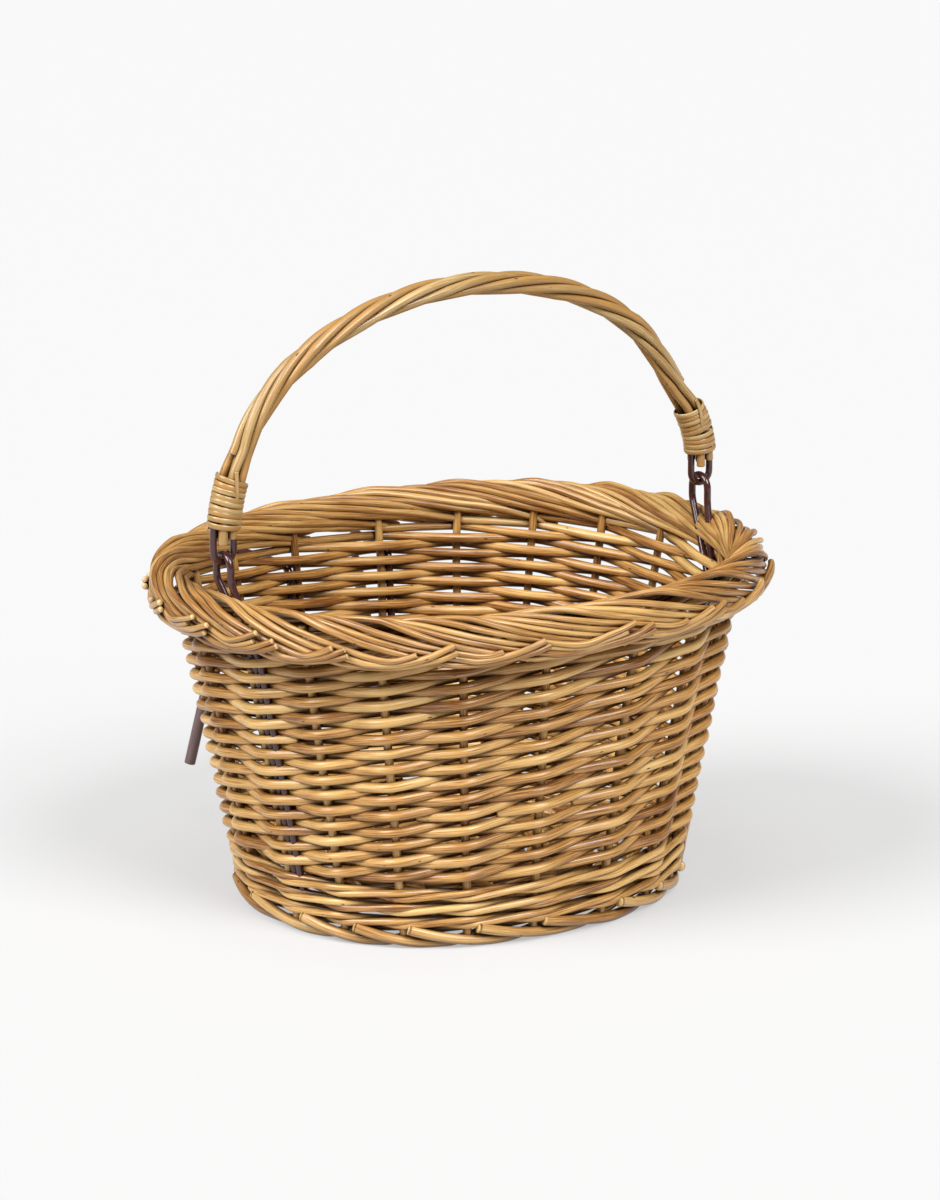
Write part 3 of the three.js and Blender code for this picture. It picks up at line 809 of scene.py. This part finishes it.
class BASKET_OT_upsett_waling(Operator):
    """Weave the rounds of three-rod waling that set the stakes up"""

    bl_idname = "basket.upsett_waling"
    bl_label = "Upsett waling"

    def execute(self, context):
        sizes = context.scene.basket_sizes
        low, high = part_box("upsett_waling")
        bundle = RodBundle(51)
        bottom = low.z - WALE_DROP
        round_height = (high.z - bottom) / sizes.wale_rounds
        half = sizes.wale / 2
        reach = sizes.stake / 2 + half
        # one stroke goes behind a stake, then in front of two, rising as it comes round
        out = (-reach, reach * 0.95, reach * 1.05)
        lift = (0.0, -half, half)
        random = bundle.random
        for level in range(sizes.wale_rounds):
            middle = bottom + (level + 0.5) * round_height
            for first, strokes in enumerate(WALE_STROKES):
                step = np.arange(3 * strokes + 1)
                height = np.take(lift, step % 3) + random.normal(0, 0.3 * MM, len(step))
                away = np.take(out, step % 3) + random.normal(0, 0.2 * MM, len(step))
                turn = 4 + WALE_SHIFT * level + first + step
                line = wall_points(turn, middle + height, away)
                line = bent_run(line, WALE_BEND, WEAVER_SPACING)
                radius = rod_radius(random, len(line), half * 1.06, half * 0.9)
                bundle.add(line, radius, (0, 0, 1), sides=10)
        bundle.build("woven_upsett", "basket", "siding_willow", "upsett_waling")
        return {"FINISHED"}


# each set's node, its rows, and the rows that go on inside the border
RANDING = (("randing_lower", 9, 0), ("randing_middle", 9, 0), ("randing_upper", 10, 4))
FOOT_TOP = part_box("upsett_waling")[1].z
BEND_REACH = 8 * MM  # each side of a stake, where a weaver bends round it
HIDDEN_OUT = 4 * MM  # from the wall's middle, where the last rows lie inside the border
BEND_EASE = -0.1 * MM  # the bend cuts its corner, less how far a rod beds into the stake
BEATEN_DOWN = 0.09  # of the height, at the back
HEIGHT_SCATTER = 0.42 * MM
OUT_SCATTER = 0.25 * MM
TUCKED = (0.55, 0.8)  # how much of the way to the next stake an end is left


class BASKET_OT_randing(Operator):
    """Weave the wall, one weaver from each stake, in front of one stake and behind the next"""

    bl_idname = "basket.randing"
    bl_label = "Wall randing"

    def execute(self, context):
        sizes = context.scene.basket_sizes
        first_row = 0
        for number, (node, rows, hidden) in enumerate(RANDING):
            bundle = RodBundle(61 + number)
            for lane in range(STAKES):
                self.weave(bundle, sizes, node, lane, first_row, rows, hidden)
            name = node.replace("randing", "woven_randing")
            bundle.build(name, "basket", "siding_willow", node)
            first_row += rows
        return {"FINISHED"}

    def weave(self, bundle, sizes, node, lane, first_row, rows, hidden):
        """One weaver, which climbs one row at each stake that it passes. The hidden rows go on
        behind the border."""
        random = bundle.random
        low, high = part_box(node)
        row_height = (high.z - low.z) / rows
        rows += hidden
        step = np.arange(-1, rows + 1)
        row = first_row + step
        reach = (sizes.stake + sizes.weaver_butt) / 2 + BEND_EASE
        out = np.where(row % 2 == 1, reach, -reach)
        height = low.z + (step + 0.5) * row_height
        # the back is beaten down a little closer than the front
        at_back = 0.5 + 0.5 * np.sin((lane + row + 0.5) * STAKE_STEP)
        height = FOOT_TOP + (height - FOOT_TOP) * (1 - BEATEN_DOWN * at_back)
        height = height + random.normal(0, HEIGHT_SCATTER, len(step))
        out = out + random.normal(0, OUT_SCATTER, len(step))
        out = np.where(step > rows - hidden / 2, HIDDEN_OUT + 0.3 * out, out)
        corners = wall_points(lane + row, height, out)
        # both ends lie against the inside, short of the next stake
        for end, near in ((0, 1), (-1, -2))[: 1 if hidden else 2]:
            tucked = wall_points(lane + row[end], height[end], -reach * 1.1)
            corners[end] = corners[near] + (tucked - corners[near]) * random.uniform(*TUCKED)
        line = bent_run(corners, BEND_REACH, WEAVER_SPACING)
        scale = random.uniform(0.93, 1.06)
        radius = rod_radius(random, len(line), sizes.weaver_butt / 2, sizes.weaver_tip / 2) * scale
        bundle.add(line, radius, (0, 0, 1))


# ---- plaited border ---------------------------------------------------------------------

# One border strand, from the stake's top to its cut end: the place in stakes, how far it stands
# out from the wall's middle, its height above the wall's top edge, in millimetres, and how far
# its rods are spread.
BORDER_PATH = (
    (-1.3, 6.5, 6.0, 0.3),
    (-0.9, 3.0, 11.0, 0.4),
    (-0.5, -1.2, 15.6, 0.6),
    (0.0, -3.2, 19.8, 0.8),
    (0.4, -2.6, 23.4, 0.9),
    (0.75, -0.4, 26.8, 1.0),
    (1.1, 3.6, 28.2, 1.0),
    (1.5, 9.6, 26.2, 1.0),
    (2.05, 14.6, 19.6, 1.0),
    (2.55, 16.2, 12.8, 0.95),
    (2.95, 17.0, 8.0, 0.8),
    (3.2, 18.0, 6.6, 0.75),
    (3.42, 19.4, 8.8, 0.8),
    (3.65, 20.2, 13.0, 0.9),
    (3.9, 19.6, 18.4, 1.0),
)
BORDER_SLOPE = 1.5 * MM  # how far the sloping wall carries the border's middle out
BORDER_CORE = (6.0, 9.0, 20.0)  # out to the middle of the border's section, and its ends' heights
BORDER_POINTS = 120
FOUR_ROD_CHANCE = 0.35  # of a strand with four thinner rods, where most have three
THIN_ROD = 0.88  # its diameter in a strand of four, as a share of the usual
BORDER_RISE = 4 * MM  # how far every second rod stands out where the strand is bunched
ROD_BED = 0.1 * MM  # how far two rods that lie side by side bed into each other


class BASKET_OT_rim_border(Operator):
    """Plait the border, a strand of three or four rods from each stake"""

    bl_idname = "basket.rim_border"
    bl_label = "Plaited border"

    def execute(self, context):
        sizes = context.scene.basket_sizes
        bundle = RodBundle(71)
        for index in range(STAKES):
            rods = 4 if bundle.random.uniform() < FOUR_ROD_CHANCE else 3
            self.strand(bundle, sizes, index, rods)
        bundle.build("plaited_border", "basket", "border_willow", "rim_border")
        return {"FINISHED"}

    def strand(self, bundle, sizes, index, rods):
        """Rods that lie side by side from the inside top, down the outside and up to their ends."""
        random = bundle.random
        count = BORDER_POINTS
        places = np.linspace(0, len(BORDER_PATH) - 1, count)
        place, out, lift, spread = curve_through(BORDER_PATH, places).T
        grown = ease((places - 4) / 6)
        lift = lift + random.uniform(-0.7, 0.7) * grown
        place = place + random.uniform(-0.06, 0.06) * grown
        turn = index + place
        middle = wall_points(turn, WALL_TOP + lift * MM, out * MM)
        radial = wall_outward(turn, np.full(count, WALL_TOP))
        core = np.clip(lift, BORDER_CORE[1], BORDER_CORE[2])
        section = unit(np.stack([out - BORDER_CORE[0], lift - core], axis=-1))
        normal = radial * section[:, :1] + np.array([0, 0, 1.0]) * section[:, 1:]
        along = unit(np.gradient(middle, axis=0))
        beside = unit(np.cross(normal, along))
        half = sizes.border / 2 * (1.0 if rods == 3 else THIN_ROD)
        for rod in range(rods):
            shift = (rod - (rods - 1) / 2) * (2 * half - ROD_BED) * spread
            stray = wobble(random, count, 7, 0.28 * MM)
            line = middle + beside * (shift + stray)[:, None]
            proud = wobble(random, count, 7, 0.18 * MM) + (rod % 2) * (1 - spread) * BORDER_RISE
            line += normal * proud[:, None]
            line = self.kept_in(line, middle, radial, out, lift, half)
            shorter = random.randint(0, 6) if rod < 2 else random.randint(6, 24)
            line = line[: count - shorter]
            radius = rod_radius(random, len(line), half * 1.08, half * 0.84)
            bundle.add(line, radius * random.uniform(0.92, 1.05), (0, 0, 1), sides=14)

    @staticmethod
    def kept_in(line, middle, radial, out, lift, half):
        """The line, drawn in where it would stand out of the border's oval section."""
        moved = line - middle
        across = out * MM + np.sum(moved * radial, axis=1)
        up = lift * MM + moved[:, 2]
        wide = (RIM_HIGH.x - TOP_HIGH.x + 2 * WALL_HALF) / 2
        high = (RIM_HIGH.z - WALL_TOP) / 2
        centre = wide - WALL_HALF - BORDER_SLOPE
        beyond = np.hypot((across - centre) / (wide - half), (up - high) / (high - half))
        pull = 1 / np.maximum(beyond, 1) - 1
        line = line + radial * ((across - centre) * pull)[:, None]
        line[:, 2] += (up - high) * pull
        return line


# ---- steel ------------------------------------------------------------------------------

EYE_LEG_PITCH = 4.5 * MM
EYE_LEG_FOOT = 26 * MM
EYE_LEAN_BELOW = 7 * MM  # below the wall's top, where the legs start to lean
EYE_LOOP_WIDTH = 15 * MM
EYE_SHOULDER = 7 * MM
EYE_BEND = 14 * MM  # radius where a leg leans and where it meets the loop
EYE_INSET = 1.7 * MM  # of the loop, from the outside of the handle's core
BESIDE_STAKE = 0.2 * MM  # between an eye's leg and the stake beside it
LOOP_POINTS = 25
RUNNING_ROOM = 0.3 * MM
STEEL_SPACING = 1.6 * MM  # between two rings of a steel rod's mesh


def beside_stake(turn, height, shift):
    """A point in the wall beside a stake."""
    place = wall_points(np.array([turn]), np.array([height]), np.array([0.0]))[0]
    return place + wall_along(np.array([turn]), np.array([height]))[0] * shift


class BASKET_OT_eyes(Operator):
    """Bend the two steel eyes that carry the handle"""

    bl_idname = "basket.eyes"
    bl_label = "Steel eyes"

    def execute(self, context):
        sizes = context.scene.basket_sizes
        near = (sizes.stake + sizes.eye) / 2 + BESIDE_STAKE
        far = near + EYE_LEG_PITCH
        top = WALL_TOP - EYE_LEAN_BELOW
        radius = EYE_LOOP_WIDTH / 2
        crown = HINGE.z + (sizes.staple + sizes.eye) / 2 + RUNNING_ROOM
        turns = np.linspace(0, math.pi, LOOP_POINTS)
        for side, name, stake in ((-1, "left", STAKES / 2), (1, "right", STAKES - 1)):
            reach = side * ((CORE_HIGH.x - CORE_LOW.x) / 2 - EYE_INSET)
            x = np.full(LOOP_POINTS, reach)
            y = HINGE.y + radius * np.cos(turns)
            z = crown - radius + radius * np.sin(turns)
            loop = np.stack([x, y, z], axis=-1)
            shoulder = loop[0][2] - EYE_SHOULDER
            back = (reach, HINGE.y + radius, shoulder)
            front = (reach, HINGE.y - radius, shoulder)
            legs = [
                [beside_stake(stake, height, -side * shift) for height in (EYE_LEG_FOOT, top)]
                for shift in (near, far)
            ]
            rising = rounded([*legs[0], back, loop[0]], EYE_BEND)
            falling = rounded([loop[-1], front, *reversed(legs[1])], EYE_BEND)
            line = even_line(np.concatenate([rising, loop[1:-1], falling]), STEEL_SPACING)
            bundle = RodBundle(81)
            bundle.add(line, sizes.eye / 2, (1, 0, 0), sides=20)
            bundle.build(f"bent_eye_{name}", "basket", "coated_steel", f"eye_{name}")
        return {"FINISHED"}


HOOK_PITCH = 80 * MM
HOOK_REACH = 49 * MM
HOOK_SPLAY = 30 * MM
HOOK_LEAN = 9 * MM
HOOK_BEND = 9 * MM
HOOK_LEG_FOOT = 26 * MM
HOOK_TIP = 35 * MM
HOOK_BESIDE_STAKE = 0.6 * MM  # between a hook's inner leg and the stake beside it
SLEEVE_START = 24 * MM  # from the bight to the sleeve's upper end
SLEEVE_POINTS = 40


def hook_corners(sizes, side):
    """The foot, inner and outer bight and tip of one handlebar hook."""
    stake = STAKES / 4 - 0.5 - side * 0.5
    shift = -side * ((sizes.stake + sizes.hook) / 2 + HOOK_BESIDE_STAKE)
    bight = WALL_TOP - sizes.hook
    foot = beside_stake(stake, HOOK_LEG_FOOT, shift)
    inner = beside_stake(stake, bight, shift)
    outer = np.array([side * HOOK_PITCH / 2, inner[1] + HOOK_REACH, bight])
    tip = np.array([outer[0] + side * HOOK_SPLAY, outer[1] + HOOK_LEAN, HOOK_TIP])
    return foot, inner, outer, tip


class BASKET_OT_hooks(Operator):
    """Bend the two steel hooks that go over a handlebar"""

    bl_idname = "basket.hooks"
    bl_label = "Handlebar hooks"

    def execute(self, context):
        sizes = context.scene.basket_sizes
        for side, name in ((-1, "left"), (1, "right")):
            foot, inner, outer, tip = hook_corners(sizes, side)
            inside_sleeve = tip + (outer - tip) * 0.02
            line = even_line(rounded([foot, inner, outer, inside_sleeve], HOOK_BEND), STEEL_SPACING)
            bundle = RodBundle(91)
            bundle.add(line, sizes.hook / 2, (1, 0, 0), sides=20)
            bundle.build(f"bent_hook_{name}", "basket", "coated_steel", f"hook_{name}")
        return {"FINISHED"}


class BASKET_OT_hook_sleeves(Operator):
    """Draw the plastic sleeves on to the hooks' outer legs"""

    bl_idname = "basket.hook_sleeves"
    bl_label = "Hook sleeves"

    def execute(self, context):
        sizes = context.scene.basket_sizes
        for side, name in ((-1, "left"), (1, "right")):
            _, _, outer, tip = hook_corners(sizes, side)
            start = outer + unit(tip - outer) * SLEEVE_START
            line = start + (tip - start) * np.linspace(0, 1, SLEEVE_POINTS)[:, None]
            bundle = RodBundle(95)
            radius = sizes.sleeve / 2 * (1 + wobble(bundle.random, SLEEVE_POINTS, 8, 0.006))
            bundle.add(line, radius, (1, 0, 0), sides=24)
            bundle.build(
                f"drawn_sleeve_{name}", "basket", "sleeve_plastic", f"hook_sleeve_{name}"
            )
        return {"FINISHED"}


# ---- handle -----------------------------------------------------------------------------

HANDLE_SPRING = 11 * MM  # straight part between the hinge axis and the arch
HANDLE_CORE = 3.4 * MM
HANDLE_RODS = sum(name.startswith("handle_rod_") for name in frame["nodes"])
HANDLE_TURNS = 2
# millimetres that the bent arch has sprung sideways from a true one, at even steps along it
HANDLE_SET = (0, -1.5, -6, -6.5, -5, -1, -1.5, -7, 0)
HANDLE_SET_LENGTH = 60 * MM  # from each end, over which it comes in
WHIPPING_START = 19 * MM
WHIPPING_LENGTH = 28 * MM
GATHER_LENGTH = 18 * MM
ROD_END = CORE_LOW.z - HINGE.z  # from the hinge axis to the rods' cut ends
STAPLE_HALF = 6.5 * MM
STAPLE_LEG_END = 42 * MM
HANDLE_REACH = (CORE_HIGH.x - CORE_LOW.x - HANDLE_CORE) / 2
ARCH_FOOT = HINGE.z + HANDLE_SPRING
ARCH_HEIGHT = CORE_HIGH.z - HANDLE_CORE / 2 - ARCH_FOOT

ARCH_TURNS = np.linspace(math.pi, 0, 2000)
ARCH = np.stack([HANDLE_REACH * np.cos(ARCH_TURNS), ARCH_HEIGHT * np.sin(ARCH_TURNS)], axis=-1)
ARCH_STEPS = np.linalg.norm(np.diff(ARCH, axis=0), axis=1)
ARCH_DISTANCE = np.concatenate([[0], np.cumsum(ARCH_STEPS)])
ARCH_LENGTH = ARCH_DISTANCE[-1]
HANDLE_LENGTH = ARCH_LENGTH + 2 * HANDLE_SPRING
GATHERED_UNTIL = WHIPPING_START + WHIPPING_LENGTH
TWISTED_FROM = GATHERED_UNTIL + GATHER_LENGTH
CORE_SWELL = 1.5  # the drawn core fills the room between the rods
STAPLE_ROOM = 0.4 * MM  # round the staple's leg, where the rods gather beside it
ROD_POINTS = 240
FIRST_ROD_LEAD = 4 * MM  # of the first rod, before the twist starts
KNOTS = 3  # swellings on each rod, where buds were
KNOT_LENGTH = 2.6 * MM
KNOT_SWELL = 0.08  # of the radius
BACKWARD = np.array([0.0, 1.0, 0.0])


def handle_frame(distance):
    """Centre, tangent and outward normal of the handle at distances from the left hinge."""
    distance = np.asarray(distance, float)
    along = np.clip(distance - HANDLE_SPRING, 0, ARCH_LENGTH)
    turn = np.interp(along, ARCH_DISTANCE, ARCH_TURNS)
    past = distance - HANDLE_SPRING - along
    zero = np.zeros_like(turn)
    across = HANDLE_REACH * np.sin(turn)
    up = ARCH_HEIGHT * -np.cos(turn)
    tangent = unit(np.stack([across, zero, up], axis=-1))
    centre = np.stack(
        [HANDLE_REACH * np.cos(turn), zero + HINGE.y, ARCH_FOOT + ARCH_HEIGHT * np.sin(turn)],
        axis=-1,
    )
    normal = np.stack([-tangent[:, 2], zero, tangent[:, 0]], axis=-1)
    to_end = np.minimum(distance, HANDLE_LENGTH - distance)
    set_share = ease((to_end - WHIPPING_START) / HANDLE_SET_LENGTH)
    sprung = curve_through(HANDLE_SET, distance / HANDLE_LENGTH * (len(HANDLE_SET) - 1)) * MM
    centre = centre + tangent * past[:, None]
    centre[:, 0] += sprung * set_share
    return centre, tangent, normal


def handle_points(distance, outward, backward):
    """Points beside the handle's centre line."""
    centre, _, normal = handle_frame(distance)
    outward, backward = (np.broadcast_to(way, len(centre))[:, None] for way in (outward, backward))
    return centre + normal * outward + BACKWARD * backward


class BASKET_OT_handle_rods(Operator):
    """Twist the handle's rods round their core"""

    bl_idname = "basket.handle_rods"
    bl_label = "Handle rods"

    def execute(self, context):
        sizes = context.scene.basket_sizes
        core = RodBundle(101)
        distance = np.linspace(ROD_END, HANDLE_LENGTH - ROD_END, 120)
        core.add(handle_points(distance, 0.0, 0.0), HANDLE_CORE / 2 * CORE_SWELL, (0, 1, 0))
        core.build("twisted_core", "handle", "handle_willow", "handle_core")
        for rod in range(HANDLE_RODS):
            self.twist(sizes, rod)
        return {"FINISHED"}

    def twist(self, sizes, rod):
        bundle = RodBundle(110 + rod)
        random = bundle.random
        half = sizes.handle / 2
        out = half + STAPLE_ROOM
        back = half + HANDLE_CORE / 2 + STAPLE_ROOM
        corner = math.atan2(back, out)
        corners = [0, corner, math.pi - corner, corner - math.pi, -corner]
        # the first rod is only in the twist: four rods gather beside the staple's legs
        start = TWISTED_FROM - FIRST_ROD_LEAD if rod == 0 else ROD_END
        count = ROD_POINTS
        left = start + random.uniform(-1.5, 2.5) * MM
        right = HANDLE_LENGTH - start - random.uniform(-1.5, 2.5) * MM
        distance = np.linspace(left, right, count)
        share = (distance - TWISTED_FROM) / (HANDLE_LENGTH - 2 * TWISTED_FROM)
        twist = np.clip(share, 0, 1) * HANDLE_TURNS * 2 * math.pi
        to_end = np.minimum(distance, HANDLE_LENGTH - distance)
        opened = ease((to_end - GATHERED_UNTIL) / GATHER_LENGTH)
        spread = rod * 2 * math.pi / HANDLE_RODS
        if spread > math.pi:
            spread -= 2 * math.pi
        radius = (2 * half - ROD_BED) / (2 * math.sin(math.pi / HANDLE_RODS))
        gathered = math.hypot(out, back)
        angle = corners[rod] + (spread - corners[rod]) * opened + twist
        angle = angle + wobble(random, count, 12, 0.035)
        reach = gathered + (radius - gathered) * opened + wobble(random, count, 10, 0.1 * MM)
        line = handle_points(distance, reach * np.cos(angle), reach * np.sin(angle))
        size = rod_radius(random, count, half, half * 0.94)
        for _ in range(KNOTS):
            knot = random.uniform(0.15, 0.85) * HANDLE_LENGTH
            size = size * (1 + KNOT_SWELL * np.exp(-(((distance - knot) / KNOT_LENGTH) ** 2)))
        bundle.add(line, size, (0, 1, 0), sides=18)
        bundle.build(
            f"twisted_rod_{rod + 1}", "handle", "handle_willow", f"handle_rod_{rod + 1}"
        )


class BASKET_OT_staples(Operator):
    """Bend the staples that hang the handle in its eyes"""

    bl_idname = "basket.staples"
    bl_label = "Handle staples"

    def execute(self, context):
        sizes = context.scene.basket_sizes
        turn = np.linspace(0, math.pi, LOOP_POINTS)
        bow = STAPLE_HALF - STAPLE_HALF * np.sin(turn)
        leg = np.linspace(STAPLE_LEG_END, bow[0], 14)[:-1]
        distance = np.concatenate([leg, bow, leg[::-1]])
        side = np.full(len(leg), STAPLE_HALF)
        outward = np.concatenate([side, STAPLE_HALF * np.cos(turn), -side])
        for name, mirrored in (("left", False), ("right", True)):
            place = HANDLE_LENGTH - distance if mirrored else distance
            line = even_line(handle_points(place, outward, 0.0), STEEL_SPACING)
            bundle = RodBundle(121)
            bundle.add(line, sizes.staple / 2, (0, 1, 0), sides=20)
            bundle.build(f"bent_staple_{name}", "handle", "coated_steel", f"staple_{name}")
        return {"FINISHED"}


SKEIN_FLATNESS = 0.42  # the split skein's thickness, as a share of its width
WHIPPING_ROOM = (0.6 * MM, 1.1 * MM)  # beyond the staple's legs, and beyond the rods
TURN_POINTS = 60
TAIL_POINTS = 30


class BASKET_OT_whippings(Operator):
    """Wind the split willow round the handle's two ends"""

    bl_idname = "basket.whippings"
    bl_label = "Whippings"

    def execute(self, context):
        sizes = context.scene.basket_sizes
        oval = (
            STAPLE_HALF + sizes.staple / 2 + WHIPPING_ROOM[0],
            sizes.handle + HANDLE_CORE / 2 + WHIPPING_ROOM[1],
        )
        for name, mirrored, seed in (("left", False, 131), ("right", True, 137)):
            bundle = RodBundle(seed)
            for winding in range(sizes.whipping_turns):
                self.wind(bundle, sizes, winding, mirrored, oval)
            self.tail(bundle, sizes, mirrored, oval)
            bundle.build(f"wound_skein_{name}", "handle", "skein_willow", f"whipping_{name}")
        return {"FINISHED"}

    def wind(self, bundle, sizes, winding, mirrored, oval):
        """One turn of skein."""
        random = bundle.random
        pitch = (WHIPPING_LENGTH - sizes.skein) / (sizes.whipping_turns - 1)
        share = np.linspace(0, 1.04, TURN_POINTS)
        tilt = random.normal(0, 0.5 * MM)
        slant = (share - 0.5) * pitch * 0.9 + tilt * np.sin(2 * math.pi * share)
        start = WHIPPING_START + sizes.skein / 2 + winding * pitch
        distance = start + slant + wobble(random, TURN_POINTS, 5, 0.12 * MM)
        angle = share * 2 * math.pi + 0.6
        swell = random.uniform(0, 0.25) * MM
        reach = [half + swell for half in oval]
        width = sizes.skein / 2 * random.uniform(0.95, 1.08)
        self.lay(bundle, distance, mirrored, angle, reach, oval, width, 14)

    def tail(self, bundle, sizes, mirrored, oval):
        """The skein's end, tucked up under the turns and cut off."""
        share = np.linspace(0, 1, TAIL_POINTS)
        distance = WHIPPING_START + WHIPPING_LENGTH * (0.55 + 0.62 * share)
        angle = -1.75 + 0.55 * share
        rise = 1 + 0.12 * np.sin(math.pi * share)
        reach = [half * rise for half in oval]
        self.lay(bundle, distance, mirrored, angle, reach, oval, sizes.skein * 0.4, 12)

    @staticmethod
    def lay(bundle, distance, mirrored, angle, reach, oval, width, sides):
        """Lays a flat skein at those places on the oval, with its flat side to the surface."""
        if mirrored:
            distance = HANDLE_LENGTH - distance
        line = handle_points(distance, reach[0] * np.cos(angle), reach[1] * np.sin(angle))
        _, _, normal = handle_frame(distance)
        away = normal * (np.cos(angle) / oval[0])[:, None]
        away = away + BACKWARD * (np.sin(angle) / oval[1])[:, None]
        bundle.add(line, width, unit(away), sides=sides, flatness=SKEIN_FLATNESS)


# ---- stage ------------------------------------------------------------------------------

VIEW_AZIMUTH = -34.0  # degrees; 0 looks along +Y
VIEW_ELEVATION = 15.3
VIEW_DISTANCE = 3.0
VIEW_LENS = 156.6  # millimetres, on a sensor of 36
VIEW_RIGHT = 5.7 * MM  # how far the view's middle stands right of the wall's middle
VIEW_UP = 56.3 * MM
WALL_MIDDLE = 110 * MM
FLOOR_HALF = 30.0  # metres, so that its edges lie far out of view
FLOOR_GLOW = 0.5
FLOOR_PAINT = 0.31  # share of the floor's colour that the lamps light, beside its glow
WORLD_LIGHT = 0.14
# each lamp's name, azimuth, elevation, strength and the angle in degrees that it fills
LAMPS = (
    ("key", -92, 44, 3.3, 32),
    ("front", 4, 46, 2.9, 28),
    ("top", -40, 80, 0.7, 30),
)


def direction(azimuth, elevation):
    """Unit vector from the object towards a place round it."""
    a, e = math.radians(azimuth), math.radians(elevation)
    return Vector((math.sin(a) * math.cos(e), -math.cos(a) * math.cos(e), math.sin(e)))


class BASKET_OT_stage(Operator):
    """Lay the pale floor and set up the soft light and the camera"""

    bl_idname = "basket.stage"
    bl_label = "Stage"

    def execute(self, context):
        self.floor(context)
        self.world(context)
        for lamp in LAMPS:
            self.lamp(context, *lamp)
        self.camera(context)
        return {"FINISHED"}

    @staticmethod
    def floor(context):
        """Matt uncoated paper, lit from below: white, and its shadows stay pale and soft."""
        mesh = bpy.data.meshes.new("floor")
        signs = ((-1, -1), (1, -1), (1, 1), (-1, 1))
        corners = [(x * FLOOR_HALF, y * FLOOR_HALF, 0) for x, y in signs]
        mesh.from_pydata(corners, [], [(0, 1, 2, 3)])
        white = tuple(context.scene.basket_colours.floor)
        material = new_material("Lit paper")
        shader = add_node(
            material,
            "ShaderNodeBsdfPrincipled",
            base_color=(*(FLOOR_PAINT * c for c in white), 1),
            roughness=0.9,
            ior=1.3,
            emission_color=(*white, 1),
            emission_strength=FLOOR_GLOW,
        )
        add_node(material, "ShaderNodeOutputMaterial", shader.outputs["BSDF"])
        mesh.materials.append(material)
        floor = bpy.data.objects.new("floor", mesh)
        context.scene.collection.objects.link(floor)

    @staticmethod
    def world(context):
        world = bpy.data.worlds.new("studio")
        world.use_nodes = True
        background = world.node_tree.nodes["Background"]
        background.inputs["Color"].default_value = (1, 1, 1, 1)
        background.inputs["Strength"].default_value = WORLD_LIGHT
        context.scene.world = world
        context.scene.view_settings.view_transform = "Standard"

    @staticmethod
    def lamp(context, name, azimuth, elevation, strength, spread):
        """A far soft light, whose spread is the angle in degrees that it fills."""
        light = bpy.data.lights.new(name, "SUN")
        light.energy = strength
        light.angle = math.radians(spread)
        lamp = bpy.data.objects.new(name, light)
        lamp.rotation_euler = (-direction(azimuth, elevation)).to_track_quat("-Z", "Y").to_euler()
        context.scene.collection.objects.link(lamp)

    @staticmethod
    def camera(context):
        data = bpy.data.cameras.new("camera")
        data.sensor_width = 36
        data.lens = VIEW_LENS
        camera = bpy.data.objects.new("camera", data)
        back = direction(VIEW_AZIMUTH, VIEW_ELEVATION)
        right = Vector((0, 0, 1)).cross(back).normalized()
        up = back.cross(right)
        aim = Vector((0, CENTRE_Y, WALL_MIDDLE)) + right * VIEW_RIGHT + up * VIEW_UP
        camera.location = aim + back * VIEW_DISTANCE
        camera.rotation_euler = (-back).to_track_quat("-Z", "Y").to_euler()
        context.scene.collection.objects.link(camera)
        context.scene.camera = camera


# ---- add-on -----------------------------------------------------------------------------

OPERATORS = (
    BASKET_OT_stakes,
    BASKET_OT_base,
    BASKET_OT_foot_border,
    BASKET_OT_upsett_waling,
    BASKET_OT_randing,
    BASKET_OT_rim_border,
    BASKET_OT_eyes,
    BASKET_OT_hooks,
    BASKET_OT_hook_sleeves,
    BASKET_OT_handle_rods,
    BASKET_OT_staples,
    BASKET_OT_whippings,
    BASKET_OT_stage,
)


class BASKET_PT_panel(Panel):
    """The basket's steps, in the order in which they are made"""

    bl_idname = "BASKET_PT_panel"
    bl_label = "Willow bicycle basket"
    bl_space_type = "VIEW_3D"
    bl_region_type = "UI"
    bl_category = "Basket"

    def draw(self, context):
        for operator in OPERATORS:
            self.layout.operator(operator.bl_idname)
        for settings in (context.scene.basket_sizes, context.scene.basket_colours):
            box = self.layout.box()
            for key in settings.__annotations__:
                box.prop(settings, key)


CLASSES = (BasketSizes, BasketColours, *OPERATORS, BASKET_PT_panel)


def register():
    for item in CLASSES:
        bpy.utils.register_class(item)
    bpy.types.Scene.basket_sizes = PointerProperty(type=BasketSizes)
    bpy.types.Scene.basket_colours = PointerProperty(type=BasketColours)


def unregister():
    del bpy.types.Scene.basket_colours
    del bpy.types.Scene.basket_sizes
    for item in reversed(CLASSES):
        bpy.utils.unregister_class(item)


def main():
    register()
    for operator in OPERATORS:
        group, name = operator.bl_idname.split(".")
        getattr(getattr(bpy.ops, group), name)()


if __name__ == "__main__":
    main()
